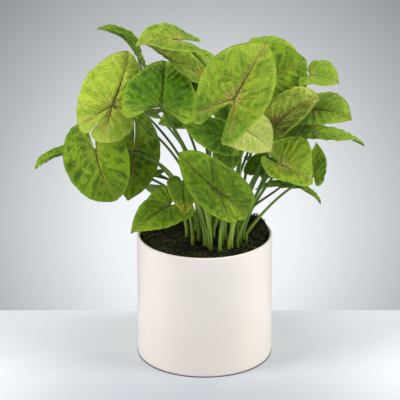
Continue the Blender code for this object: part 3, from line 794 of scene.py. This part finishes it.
def vein_tube(blade, line, strength, below):
    """One vein as a flat closed tube, half sunk in the upper or the lower face of the blade."""
    lift, _, _ = blade.relief(line)
    points, faces = [], []
    spots = [blade.point(x, y) for x, y in line]
    half = MIDDLE_THICKNESS * VEIN_SUNK
    centres = [spot + normal * (raised + (-half if below else half))
               for (spot, normal), raised in zip(spots, lift)]
    swell = ((RIB_RADIUS if below else VEIN_RADIUS) - VEIN_LEAST) * strength ** VEIN_SWELL
    for index, centre in enumerate(centres):
        along = centres[min(index + 1, len(centres) - 1)] - centres[max(index - 1, 0)]
        normal = spots[index][1]
        across = along.cross(normal).normalized()
        radius = blade.size * (VEIN_LEAST + swell * (1 - index / (len(centres) - 1)) ** VEIN_TAPER)
        for side in range(VEIN_SIDES):
            turn = 2 * math.pi * side / VEIN_SIDES
            height = VEIN_FLATNESS * math.sin(turn) * (-1 if below else 1)
            points.append(centre + (across * math.cos(turn) + normal * height) * radius)
    for ring in range(len(centres) - 1):
        for side in range(VEIN_SIDES):
            a = ring * VEIN_SIDES + side
            b = ring * VEIN_SIDES + (side + 1) % VEIN_SIDES
            face = (a, b, b + VEIN_SIDES, a + VEIN_SIDES)
            faces.append(tuple(reversed(face)) if below else face)
    first = tuple(range(VEIN_SIDES))
    last = tuple(len(points) - VEIN_SIDES + side for side in range(VEIN_SIDES))
    ends = [tuple(reversed(first)), last]
    faces += [tuple(reversed(face)) for face in ends] if below else ends
    return points, faces


def add_veins(shell, blade):
    """The veins: fine lines on the upper face, and thicker ribs under the stronger ones."""
    for line, strength, _ in blade.veins:
        flat = [(x, y, NOISE_STEP * blade.number) for x, y in line for _ in range(VEIN_SIDES)]
        outward = np.repeat(np.linspace(0.0, 1.0, len(line)), VEIN_SIDES)
        points, faces = vein_tube(blade, line, strength, below=False)
        shell.add(points, faces, 1, flat, vein=strength, outward=outward)
        if strength > RIB_LEAST_STRENGTH:
            points, faces = vein_tube(blade, line, strength, below=True)
            shell.add(points, faces, 2, flat, vein=strength, under=1.0)


def fine_radius(t):
    """A stalk's radius, t from the soil to the joint: a sheath that clasps its foot, then a slow taper."""
    radius = STALK_RADIUS + (STALK_TOP_RADIUS - STALK_RADIUS) * t
    sheath = max(0.0, 1 - t / SHEATH_SHARE)
    return radius + (SHEATH_RADIUS - STALK_RADIUS) * sheath ** 0.7


def add_stalk(shell, number, plant_leaf, way):
    """The stalk, grooved along one side."""
    path = stalk_path(plant_leaf, *way, steps=FINE_STALK_STEPS)
    count = len(path)
    radii = [fine_radius(0.0), fine_radius(0.0)]
    radii += [fine_radius(step / FINE_STALK_STEPS) for step in range(1, FINE_STALK_STEPS + 1)]
    radii.append(STALK_END_RADIUS)
    points, faces = tube(path, radii, FINE_STALK_SIDES)
    flat = []
    for index in range(count):
        for side in range(FINE_STALK_SIDES):
            if side == number % FINE_STALK_SIDES:
                place = index * FINE_STALK_SIDES + side
                points[place] = points[place].lerp(path[index], STALK_GROOVE)
            flat.append((index / count, side / FINE_STALK_SIDES, NOISE_STEP * number))
    shell.add(points, faces, 2, flat)


def make_leaf(number, plant_leaf, way, materials):
    """One leaf as a single piece: blade, veins and stalk."""
    blade = Blade(number, plant_leaf)
    shell = Shell()
    add_blade(shell, blade)
    add_veins(shell, blade)
    add_stalk(shell, number, plant_leaf, way)
    look = look_of(number)
    finishes = [materials[look], materials[look + "_vein"], materials["stalk"]]
    made = shell.make(plant_leaf.name + "_grown", finishes)
    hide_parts(plant_leaf.name)
    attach(made, "root")


def turned(name, profile, segments, finish):
    """A solid of revolution: the profile runs from the axis below, round the outside, to the axis above."""
    points, faces, rings = [], [], []
    for radius, height in profile:
        if radius == 0:
            rings.append([len(points)] * segments)
            points.append((0, 0, height))
            continue
        rings.append([len(points) + step for step in range(segments)])
        for step in range(segments):
            turn = 2 * math.pi * step / segments
            points.append((radius * math.cos(turn), radius * math.sin(turn), height))
    for lower, upper in zip(rings, rings[1:]):
        for step in range(segments):
            after = (step + 1) % segments
            face = [lower[step], lower[after], upper[after], upper[step]]
            faces.append([index for place, index in enumerate(face) if index not in face[:place]])
    made = add_mesh(name, points, faces, [finish])
    made.data.shade_smooth()
    made.data.set_sharp_from_angle(angle=math.radians(POT_SHARP_ANGLE))
    return made


def rounding(centre, radius, start, end, steps):
    """Points of an arc in a profile, with its angles in degrees."""
    turns = [math.radians(start + (end - start) * step / steps) for step in range(steps + 1)]
    return [(centre[0] + radius * math.cos(turn), centre[1] + radius * math.sin(turn)) for turn in turns]


def make_pot(finish):
    """The glazed cylinder with its foot ring, its rounded lip and its inside."""
    lip = POT_WALL / 2
    inner = POT_RADIUS - POT_WALL
    foot = POT_RADIUS - POT_FOOT_ROUND
    profile = [(0, FOOT_RING_DEPTH), (foot - FOOT_RING_INSETS[0], FOOT_RING_DEPTH),
               (foot - FOOT_RING_INSETS[1], 0.0)]
    profile += rounding((foot, POT_FOOT_ROUND), POT_FOOT_ROUND, -90, 0, POT_FOOT_STEPS)
    wall_top = POT_HEIGHT - lip
    for step in range(1, POT_WALL_STEPS):
        profile.append((POT_RADIUS, POT_FOOT_ROUND + (wall_top - POT_FOOT_ROUND) * step / POT_WALL_STEPS))
    profile += rounding((POT_RADIUS - lip, wall_top), lip, 0, 180, POT_LIP_STEPS)
    profile += [(inner, POT_FLOOR + POT_FLOOR_CORNER), (inner - POT_FLOOR_CORNER, POT_FLOOR), (0, POT_FLOOR)]
    made = turned("pot_glazed", profile, POT_SEGMENTS, finish)
    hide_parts("pot")
    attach(made, "root")


# The fine soil: rings and spokes of its surface, the gaps at the pot's wall and floor, how much narrower
# it is at the floor, its bumps (size and pitch), and the mossy heap at the right
BED_RINGS = 56
BED_SPOKES = 150
BED_GAP = 0.0004
BED_FLOOR_GAP = 0.0010
BED_INSET = 0.0040
BED_BUMPS = ((0.0016, 60), (0.0009, 170), (0.0005, 420))
HEAP = (0.057, 0.027)
HEAP_RADIUS = 0.021
HEAP_HEIGHT = 0.0125


def bed_height(x, y):
    """The fine soil's surface: the frame's mound with clods on it, and a heap at the right of the pot."""
    height = soil_height(x, y)
    for size, pitch in BED_BUMPS:
        height += size * noise.noise(Vector((x * pitch, y * pitch, 3.1)))
    share = math.hypot(x - HEAP[0], y - HEAP[1]) / HEAP_RADIUS
    return height + HEAP_HEIGHT * math.exp(-share ** 2)


def make_soil(finish):
    """The bed of soil, closed down to the pot's floor."""
    radius = POT_RADIUS - POT_WALL - BED_GAP
    points, faces = [(0, 0, bed_height(0, 0))], []
    for ring in range(1, BED_RINGS + 1):
        for spoke in range(BED_SPOKES):
            turn = 2 * math.pi * spoke / BED_SPOKES
            x, y = (radius * ring / BED_RINGS * part for part in (math.cos(turn), math.sin(turn)))
            points.append((x, y, bed_height(x, y)))
    last = 1 + (BED_RINGS - 1) * BED_SPOKES
    for spoke in range(BED_SPOKES):
        x, y, _ = points[last + spoke]
        inset = (radius - BED_INSET) / radius
        points.append((x * inset, y * inset, POT_FLOOR + BED_FLOOR_GAP))
    points.append((0, 0, POT_FLOOR + BED_FLOOR_GAP))
    floor = len(points) - 1
    for spoke in range(BED_SPOKES):
        after = (spoke + 1) % BED_SPOKES
        faces.append((0, 1 + spoke, 1 + after))
        for ring in range(BED_RINGS):
            inner = 1 + ring * BED_SPOKES
            outer = inner + BED_SPOKES
            faces.append((inner + spoke, outer + spoke, outer + after, inner + after))
        faces.append((floor, last + BED_SPOKES + after, last + BED_SPOKES + spoke))
    made = add_mesh("soil_bed", points, faces, [finish])
    made.data.shade_smooth()
    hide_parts("soil")
    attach(made, "root")


# Crumbs of bark and soil: how many, the limits of their size, their stretch along, across and up and
# their corners' unevenness, how far they are raised and how far they stay from the pot's wall
CRUMBS = 900
CRUMB_SIZE = (0.0006, 0.0021)
CRUMB_STRETCH = ((0.9, 1.9), (0.6, 1.0), (0.4, 0.8))
CRUMB_UNEVEN = (0.75, 1.2)
CRUMB_RAISED = 0.2
CRUMB_MARGIN = 0.0030
CRUMB_SEED = 21
CRUMB_CORNERS = ((1, 0, 0), (-1, 0, 0), (0, 1, 0), (0, -1, 0), (0, 0, 1), (0, 0, -1))
CRUMB_FACES = ((0, 2, 4), (2, 1, 4), (1, 3, 4), (3, 0, 4), (2, 0, 5), (1, 2, 5), (3, 1, 5), (0, 3, 5))

# Moss: how many tufts and blades, the limits of a blade's length and tilt, its droop, how deep it stands
# and how far it stays from the pot's wall and lip, and the size and thickness of its patches
MOSS_TUFTS = 900
MOSS_BLADES = 9
MOSS_LENGTH = (0.0035, 0.0080)
MOSS_TILT = (0.2, 1.3)
MOSS_DROOP = 0.15
MOSS_RADIUS = 0.00034
MOSS_MARGIN = 0.0035
MOSS_SUNK = 0.0004
MOSS_WALL_GAP = 0.0008
MOSS_OVER_LIP = 0.0010
MOSS_SEED = 33
MOSS_HEAP_SHARE = 1.2
MOSS_PATCH_PITCH = 42
MOSS_PATCHES = (0.50, 0.9)


def spot_in_pot(drawn, margin):
    """An even random spot on the soil."""
    radius = (POT_RADIUS - POT_WALL - margin) * math.sqrt(drawn.random())
    turn = drawn.uniform(0, 2 * math.pi)
    return radius * math.cos(turn), radius * math.sin(turn)


def make_crumbs(finish):
    """Small angular crumbs that lie on the soil, each sunk a little in it."""
    drawn = random.Random(CRUMB_SEED)
    shell = Shell()
    for number in range(CRUMBS):
        x, y = spot_in_pot(drawn, CRUMB_MARGIN)
        size = drawn.uniform(*CRUMB_SIZE) * drawn.uniform(0.6, 1.0)
        centre = Vector((x, y, bed_height(x, y) + CRUMB_RAISED * size))
        turn = drawn.uniform(0, 2 * math.pi)
        stretch = [drawn.uniform(*limits) for limits in CRUMB_STRETCH]
        points = []
        for corner in CRUMB_CORNERS:
            along, across, up = (value * part * size * drawn.uniform(*CRUMB_UNEVEN)
                                 for value, part in zip(corner, stretch))
            points.append(centre + Vector((along * math.cos(turn) - across * math.sin(turn),
                                           along * math.sin(turn) + across * math.cos(turn), up)))
        shell.add(points, CRUMB_FACES, 0, [(number * 0.37, x, y)] * 6)
    made = shell.make("soil_crumbs", [finish])
    made.data.shade_flat()
    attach(made, "root")


def moss_share(x, y):
    """How thickly moss covers the soil: thick on the heap, and in patches elsewhere."""
    heap = math.exp(-(math.hypot(x - HEAP[0], y - HEAP[1]) / (MOSS_HEAP_SHARE * HEAP_RADIUS)) ** 2)
    patch = noise.noise(Vector((x * MOSS_PATCH_PITCH, y * MOSS_PATCH_PITCH, 7.7)))
    return max(heap, MOSS_PATCHES[0] + MOSS_PATCHES[1] * patch)


def make_moss(finish):
    """Tufts of moss: short bent pointed blades that spread from one spot."""
    drawn = random.Random(MOSS_SEED)
    shell = Shell()
    for number in range(MOSS_TUFTS):
        x, y = spot_in_pot(drawn, MOSS_MARGIN)
        if drawn.random() > moss_share(x, y):
            continue
        for _ in range(MOSS_BLADES):
            turn = drawn.uniform(0, 2 * math.pi)
            tilt = drawn.uniform(*MOSS_TILT)
            length = drawn.uniform(*MOSS_LENGTH)
            foot = Vector((x, y, bed_height(x, y) - MOSS_SUNK))
            aim = Vector((math.cos(turn) * math.sin(tilt), math.sin(turn) * math.sin(tilt), math.cos(tilt)))
            tip = foot + aim * length * 0.9 - Vector((0, 0, MOSS_DROOP * length))
            path = [inside_pot(spot) for spot in (foot, foot + aim * length * 0.5, tip)]
            points, faces = tube(path, [MOSS_RADIUS, 0.8 * MOSS_RADIUS, 0.2 * MOSS_RADIUS], 3)
            flat = [(number * 0.61, share, turn) for share in (0, 0.5, 1) for _ in range(3)]
            shell.add(points, faces, 0, flat)
    made = shell.make("moss", [finish])
    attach(made, "root")


def inside_pot(spot):
    """Keeps a spot clear of the pot's wall while it is below the lip."""
    limit = POT_RADIUS - POT_WALL - MOSS_WALL_GAP
    reach = math.hypot(spot.x, spot.y)
    if reach > limit and spot.z < POT_HEIGHT + MOSS_OVER_LIP:
        return Vector((spot.x * limit / reach, spot.y * limit / reach, spot.z))
    return spot


def node(tree, kind, sockets=None, **settings):
    """Adds a shader node, with its settings and with values or links for its sockets."""
    made = tree.nodes.new("ShaderNode" + kind)
    for key, value in settings.items():
        setattr(made, key, value)
    for key, value in (sockets or {}).items():
        if isinstance(value, bpy.types.NodeSocket):
            tree.links.new(value, made.inputs[key])
        else:
            made.inputs[key].default_value = value
    return made


def mixed(tree, factor, first, second):
    """A colour between two colours."""
    made = node(tree, "Mix", {0: factor, 6: first, 7: second}, data_type="RGBA")
    return made.outputs[2]


def ramped(tree, value, low, high, bottom=0.0, top=1.0):
    """A value taken from low..high to bottom..top, smoothly."""
    made = node(tree, "MapRange", {0: value, 1: low, 2: high, 3: bottom, 4: top},
                interpolation_type="SMOOTHSTEP")
    return made.outputs[0]


def times(tree, first, second):
    """One value times another."""
    return node(tree, "Math", {0: first, 1: second}, operation="MULTIPLY").outputs[0]


def stretched(tree, place, factors):
    """A place with its x, y and z multiplied."""
    return node(tree, "VectorMath", {0: place, 1: factors}, operation="MULTIPLY").outputs[0]


def noised(tree, place, scale, detail=3.0, roughness=0.5, distortion=0.0):
    """Noise from 0 to 1 at a place."""
    made = node(tree, "TexNoise", {"Vector": place, "Scale": scale, "Detail": detail,
                                   "Roughness": roughness, "Distortion": distortion})
    return made.outputs[0]


def value_of(tree, name):
    """A value stored in the mesh."""
    return node(tree, "Attribute", attribute_name=name).outputs["Fac"]


def place_of(tree, name="flat"):
    """A place stored in the mesh."""
    return node(tree, "Attribute", attribute_name=name).outputs["Vector"]


def object_place(tree):
    """The place in the object's own space."""
    return node(tree, "TexCoord").outputs["Object"]


def new_material(name, **constants):
    """A material with a Principled shader, its constant sockets set on the shader itself."""
    made = bpy.data.materials.new(name)
    made.use_nodes = True
    tree = made.node_tree
    shader = tree.nodes["Principled BSDF"]
    for key, value in constants.items():
        shader.inputs[key.replace("_", " ")].default_value = value
    return made, tree, shader


def surfaced(tree, shader, colour, roughness):
    """Gives the shader its colour and its roughness."""
    tree.links.new(colour, shader.inputs["Base Color"])
    tree.links.new(roughness, shader.inputs["Roughness"])


def bumped(tree, shader, height, strength, distance):
    """Gives the shader a bumped normal."""
    made = node(tree, "Bump", {"Height": height, "Strength": strength, "Distance": distance})
    tree.links.new(made.outputs[0], shader.inputs["Normal"])


def blade_material(name, look):
    """A leaf's blade: dark patches on its cushions, a glow at its joint and veins, and a paler underside."""
    made, tree, shader = new_material(name, Subsurface_Weight=0.25, Subsurface_Radius=(0.9, 1.2, 0.25),
                                      Subsurface_Scale=0.0010, Specular_IOR_Level=0.24)
    place = place_of(tree)
    along = node(tree, "SeparateXYZ", {0: place}).outputs[0]
    outward = value_of(tree, "outward")
    streak_place = stretched(tree, place_of(tree, "grain"), (6.0, 10.0, 1.0))
    cushion = ramped(tree, value_of(tree, "between"), 0.15, 0.95, 0.55, 1.0)
    colour = mixed(tree, ramped(tree, along, 0.50, 0.90, 0.0, 0.75), look.light, look.edge)
    # painted light and shade on the lobes: lighter in some looks and darker in others
    colour = mixed(tree, ramped(tree, along, -0.40, -0.04, 0.80, 0.0), colour, look.lobe)
    broad = ramped(tree, noised(tree, place, 3.6, 4.0, 0.62, 0.8), 0.44, 0.58, 0.0, look.patches)
    colour = mixed(tree, times(tree, broad, cushion), colour, look.dark)
    creases = noised(tree, streak_place, 1.0, 4.0, 0.65, 0.8)
    streaks = ramped(tree, creases, 0.49, 0.58, 0.0, 0.82 * look.patches)
    colour = mixed(tree, times(tree, streaks, cushion), colour, look.dark)
    specks = ramped(tree, noised(tree, place, 15.0, 4.0, 0.65, 0.6), 0.52, 0.62, 0.0, 0.55)
    colour = mixed(tree, specks, colour, look.light)
    colour = mixed(tree, ramped(tree, outward, 0.86, 1.0, 0.0, 0.65), colour, look.edge)
    colour = mixed(tree, ramped(tree, outward, 0.02, 0.34, 0.70, 0.0), colour, look.glow)
    near = ramped(tree, value_of(tree, "vein"), 0.12, 1.0, 0.0, 0.60)
    colour = mixed(tree, near, colour, look.glow)
    under = tone(136, 166, 76)
    colour = mixed(tree, times(tree, value_of(tree, "under"), 0.6), colour, under)
    surfaced(tree, shader, colour, ramped(tree, noised(tree, place, 18.0), 0.3, 0.7, 0.32, 0.48))
    cells = node(tree, "TexVoronoi", {"Vector": place, "Scale": 26.0}, feature="DISTANCE_TO_EDGE")
    net = ramped(tree, cells.outputs["Distance"], 0.0, 0.20)
    crumple = noised(tree, place, 11.0, 4.0, 0.55)
    height = node(tree, "Math", {0: crumple, 1: 4.0, 2: net}, operation="MULTIPLY_ADD").outputs[0]
    height = node(tree, "Math", {0: creases, 1: 2.5, 2: height}, operation="MULTIPLY_ADD").outputs[0]
    bumped(tree, shader, height, 0.90, 0.0009)
    return made


def vein_material(name, look):
    """The veins of the upper face: dark main ones, and side ones that fade into the blade to their ends."""
    made, tree, shader = new_material(name, Specular_IOR_Level=0.35)
    strength = value_of(tree, "vein")
    patchy = noised(tree, place_of(tree), 9.0, 2.0)
    colour = mixed(tree, ramped(tree, strength, 0.55, 0.78), look.side, look.vein)
    fading = ramped(tree, value_of(tree, "outward"), 0.50, 1.0, 0.05, 0.70)
    fading = times(tree, fading, ramped(tree, strength, 0.55, 0.78, 1.0, 0.4))
    colour = mixed(tree, times(tree, fading, ramped(tree, patchy, 0.3, 0.6, 0.6, 1.0)), colour, look.light)
    surfaced(tree, shader, colour, ramped(tree, patchy, 0.3, 0.7, 0.45, 0.6))
    return made


def stalk_material():
    """Stalks: light green painted as lit on some and dark green painted as shaded on others, with painted
    shade darker to the joint, lengthwise streaks and a brown blush below.
    """
    made, tree, shader = new_material("stalk_green", Subsurface_Weight=0.15, Subsurface_Scale=0.0012,
                                      Subsurface_Radius=(0.9, 1.2, 0.3), Specular_IOR_Level=0.4)
    place = place_of(tree)
    along = node(tree, "SeparateXYZ", {0: place}).outputs[0]
    # painted light and shade: some stalks get a lit light green, others a shaded dark green
    which = noised(tree, stretched(tree, place, (0.3, 0.0, 1.9)), 1.0, 0.0)
    colour = mixed(tree, ramped(tree, which, 0.42, 0.60), tone(180, 212, 84), tone(106, 148, 30))
    # painted shade: darker green towards the joint, where the crown shades the stalks
    colour = mixed(tree, ramped(tree, along, 0.15, 0.60, 0.0, 0.85), colour, tone(68, 100, 18))
    streaks = noised(tree, stretched(tree, place, (3.0, 26.0, 1.0)), 1.0, 2.0)
    streaks = ramped(tree, streaks, 0.46, 0.56, 0.0, 0.75)
    colour = mixed(tree, streaks, colour, tone(60, 96, 14))
    blush = noised(tree, stretched(tree, place, (5.0, 2.0, 1.0)), 1.0, 2.0)
    blush = ramped(tree, blush, 0.52, 0.66, 0.0, 0.30)
    low = ramped(tree, along, 0.05, 0.45, 1.0, 0.25)
    colour = mixed(tree, times(tree, blush, low), colour, tone(132, 88, 62))
    surfaced(tree, shader, colour, ramped(tree, streaks, 0.0, 0.6, 0.30, 0.46))
    bumped(tree, shader, streaks, 0.3, 0.0003)
    return made


def soil_material():
    """Damp potting mix: dark, with brown and almost black clods."""
    made, tree, shader = new_material("soil_dark", Specular_IOR_Level=0.25)
    place = object_place(tree)
    clods = noised(tree, place, 240.0, 5.0, 0.65)
    colour = mixed(tree, ramped(tree, clods, 0.35, 0.62), tone(3, 3, 1), tone(18, 14, 8))
    green = ramped(tree, noised(tree, place, 60.0, 3.0), 0.46, 0.60, 0.0, 0.6)
    colour = mixed(tree, green, colour, tone(24, 29, 10))
    surfaced(tree, shader, colour, ramped(tree, clods, 0.3, 0.7, 0.75, 0.95))
    bumped(tree, shader, clods, 0.9, 0.0012)
    return made


def crumb_material():
    """Crumbs: reddish bark, dark soil and a few pale bits."""
    made, tree, shader = new_material("bark_crumbs", Specular_IOR_Level=0.25)
    pick = noised(tree, place_of(tree), 3.0, 0.0)
    colour = mixed(tree, ramped(tree, pick, 0.44, 0.56), tone(22, 17, 11), tone(84, 46, 28))
    colour = mixed(tree, ramped(tree, pick, 0.64, 0.70), colour, tone(118, 100, 62))
    grain = noised(tree, object_place(tree), 900.0)
    surfaced(tree, shader, colour, ramped(tree, grain, 0.3, 0.7, 0.7, 0.95))
    bumped(tree, shader, grain, 0.5, 0.0004)
    return made


def moss_material():
    """Moss: dark green tufts with brown ones among them and lighter tips."""
    made, tree, shader = new_material("moss_green", Specular_IOR_Level=0.25)
    pick = node(tree, "SeparateXYZ", {0: place_of(tree)})
    tuft = noised(tree, pick.outputs[0], 2.3, 0.0)
    colour = mixed(tree, ramped(tree, tuft, 0.40, 0.60), tone(40, 58, 14), tone(58, 40, 22))
    colour = mixed(tree, ramped(tree, pick.outputs[1], 0.3, 1.0, 0.0, 0.5), colour, tone(92, 118, 34))
    surfaced(tree, shader, colour, ramped(tree, tuft, 0.3, 0.7, 0.6, 0.8))
    return made


def glaze_material():
    """Cream satin glaze with a faint cloudiness and fine pinholes."""
    made, tree, shader = new_material("cream_glaze", Specular_IOR_Level=0.45, Coat_Weight=0.25,
                                      Coat_Roughness=0.22)
    place = object_place(tree)
    clouds = noised(tree, place, 9.0, 3.0, 0.5)
    colour = mixed(tree, ramped(tree, clouds, 0.35, 0.65), tone(244, 234, 226), tone(240, 231, 219))
    specks = ramped(tree, noised(tree, place, 420.0, 2.0), 0.70, 0.78, 0.0, 0.12)
    colour = mixed(tree, specks, colour, tone(196, 184, 168))
    surfaced(tree, shader, colour, ramped(tree, clouds, 0.3, 0.7, 0.30, 0.40))
    bumped(tree, shader, noised(tree, place, 32.0), 0.08, 0.001)
    return made


def leaf_materials():
    """Every material that the leaves take, by name."""
    made = {"stalk": stalk_material()}
    for name, look in LOOKS.items():
        made[name] = blade_material("blade_" + name, look)
        made[name + "_vein"] = vein_material("vein_" + name, look)
    return made


# The photograph's camera, with its angles in degrees and its focus and the pot's axis in pixels
CAMERA_DISTANCE = 2.4
CAMERA_ELEVATION = 21.8
CAMERA_PITCH = 20.92
CAMERA_FOCUS = 2139.5
CAMERA_SENSOR = 36.0
CAMERA_RANGE = (0.1, 50.0)
PICTURE_WIDTH = 400
POT_AXIS_PIXEL = 204.6

# The table with its rear edge, its painted shadow before the pot and the painted contact shadow under the
# pot's foot
TABLE_REAR = 0.109
TABLE_FRONT = -2.2
TABLE_HALF_WIDTH = 1.6
TABLE_THICKNESS = 0.04
TABLE_PAINTED_SHADOW_CENTRE = (0.0, -0.30, 0.0)
TABLE_PAINTED_SHADOW_REACH = (0.12, 0.36)
FOOT_PAINTED_SHADOW_LINE = (-0.0004, 0.0012)

# The wall far behind, and its glow: its middle, how it is squashed upwards, how far it reaches, and its
# greys on the way
WALL_LOW = (-3.0, 4.6, -4.0)
WALL_HIGH = (3.0, 4.62, 1.5)
WALL_GLOW_HEIGHT = -1.686
WALL_GLOW_SQUASH = 0.936
WALL_GLOW_REACH = 1.035
WALL_GREYS = ((0.0, 250), (1.0, 147), (0.20, 249), (0.33, 241), (0.50, 218), (0.72, 187))

# The lights: name, place, size, power and colour of each, the point they face, and the glow all round
LIGHTS = (
    ("left", (-1.9, -0.8, 1.7), 1.1, 39.0, (1.0, 0.99, 0.98)),
    ("right", (2.1, -0.7, 1.4), 1.2, 39.0, (1.0, 1.0, 1.0)),
    ("crown", (0.1, 0.6, 2.4), 1.1, 16.0, (1.0, 1.0, 1.0)),
)
LIGHTS_FACE = (0, 0, 0.22)
GLOW_COLOUR = (0.96, 0.98, 1.0, 1.0)
GLOW_STRENGTH = 0.44


def make_camera():
    """The camera at the photograph's place."""
    data = bpy.data.cameras.new("camera")
    data.sensor_width = CAMERA_SENSOR
    data.lens = CAMERA_FOCUS / PICTURE_WIDTH * CAMERA_SENSOR
    data.shift_x = (PICTURE_WIDTH / 2 - POT_AXIS_PIXEL) / PICTURE_WIDTH
    data.clip_start, data.clip_end = CAMERA_RANGE
    made = add_object("camera", data)
    raised = math.radians(CAMERA_ELEVATION)
    made.location = (0, -CAMERA_DISTANCE * math.cos(raised), POT_HEIGHT + CAMERA_DISTANCE * math.sin(raised))
    made.rotation_euler = (math.radians(90 - CAMERA_PITCH), 0, 0)
    bpy.context.scene.camera = made


def box_mesh(name, low, high, finish):
    """A plain box."""
    points = [(x, y, z) for x in (low[0], high[0]) for y in (low[1], high[1]) for z in (low[2], high[2])]
    faces = [(0, 1, 3, 2), (4, 6, 7, 5), (0, 4, 5, 1), (2, 3, 7, 6), (0, 2, 6, 4), (1, 5, 7, 3)]
    return add_mesh(name, points, faces, [finish])


def table_material():
    """Pale bluish stone with faint clouds, a painted shadow before the pot and a painted contact shadow where
    the pot's foot meets it.
    """
    made, tree, shader = new_material("pale_stone", Specular_IOR_Level=0.3)
    place = object_place(tree)
    clouds = noised(tree, place, 3.0, 5.0, 0.6, 1.2)
    off = node(tree, "VectorMath", {0: place, 1: TABLE_PAINTED_SHADOW_CENTRE}, operation="DISTANCE").outputs["Value"]
    # painted shadow: the stone is darker near a point before the pot and lighter further off
    far = ramped(tree, off, *TABLE_PAINTED_SHADOW_REACH)
    colour = mixed(tree, far, tone(184, 188, 196), tone(233, 237, 241))
    colour = mixed(tree, ramped(tree, clouds, 0.35, 0.65, 0.0, 0.12), colour, tone(176, 180, 188))
    axis_off = node(tree, "VectorMath", {0: place}, operation="LENGTH").outputs["Value"]
    # painted contact shadow: a dark ring just round the pot's foot
    foot = ramped(tree, axis_off, POT_RADIUS + FOOT_PAINTED_SHADOW_LINE[0], POT_RADIUS + FOOT_PAINTED_SHADOW_LINE[1], 0.80, 0.0)
    colour = mixed(tree, foot, colour, tone(70, 70, 72))
    surfaced(tree, shader, colour, ramped(tree, clouds, 0.3, 0.7, 0.45, 0.55))
    return made


def wall_material():
    """The wall behind: its own soft light, white behind the plant and grey to the corners."""
    made = bpy.data.materials.new("wall_glow")
    made.use_nodes = True
    tree = made.node_tree
    tree.nodes.clear()
    middle = (0.0, 0.0, WALL_GLOW_HEIGHT)
    place = node(tree, "VectorMath", {0: object_place(tree), 1: middle}, operation="SUBTRACT").outputs[0]
    place = stretched(tree, place, (1.0, 0.0, WALL_GLOW_SQUASH))
    away = node(tree, "VectorMath", {0: place}, operation="LENGTH").outputs["Value"]
    fall = node(tree, "ValToRGB", {0: times(tree, away, 1 / WALL_GLOW_REACH)})
    stops = fall.color_ramp.elements
    for index, (position, grey) in enumerate(WALL_GREYS):
        stop = stops[index] if index in (0, 1) else stops.new(position)
        stop.position = position
        stop.color = tone(grey - 3, grey, grey + 3)
    light = node(tree, "Emission", {0: fall.outputs[0], 1: 1.0})
    out = node(tree, "OutputMaterial")
    tree.links.new(light.outputs[0], out.inputs[0])
    return made


def make_studio():
    """The table and the wall, which aren't part of the object."""
    table = box_mesh("table", (-TABLE_HALF_WIDTH, TABLE_FRONT, -TABLE_THICKNESS),
                     (TABLE_HALF_WIDTH, TABLE_REAR, 0.0), table_material())
    wall = box_mesh("wall", WALL_LOW, WALL_HIGH, wall_material())


def make_light(name, place, size, power, colour):
    """A square soft light that faces the plant."""
    data = bpy.data.lights.new(name, "AREA")
    data.shape = "SQUARE"
    data.size = size
    data.energy = power
    data.color = colour
    made = add_object(name, data)
    made.location = place
    aim = Vector(LIGHTS_FACE) - Vector(place)
    made.rotation_euler = aim.to_track_quat("-Z", "Y").to_euler()


def make_lights():
    """Soft light from both sides in front, a weaker one from above and behind, and an even glow all round."""
    for light in LIGHTS:
        make_light(*light)
    world = bpy.data.worlds.new("studio")
    world.use_nodes = True
    backdrop = world.node_tree.nodes["Background"]
    backdrop.inputs[0].default_value = GLOW_COLOUR
    backdrop.inputs[1].default_value = GLOW_STRENGTH
    bpy.context.scene.world = world
    bpy.context.scene.view_settings.view_transform = "Standard"


def make_plant():
    """Every leaf of the frame, grown again."""
    materials = leaf_materials()
    ways = route_stalks(LEAVES)
    for number, (plant_leaf, way) in enumerate(zip(LEAVES, ways), start=1):
        make_leaf(number, plant_leaf, way, materials)


make_pot(glaze_material())
make_soil(soil_material())
make_crumbs(crumb_material())
make_moss(moss_material())
make_plant()
make_studio()
make_lights()
make_camera()
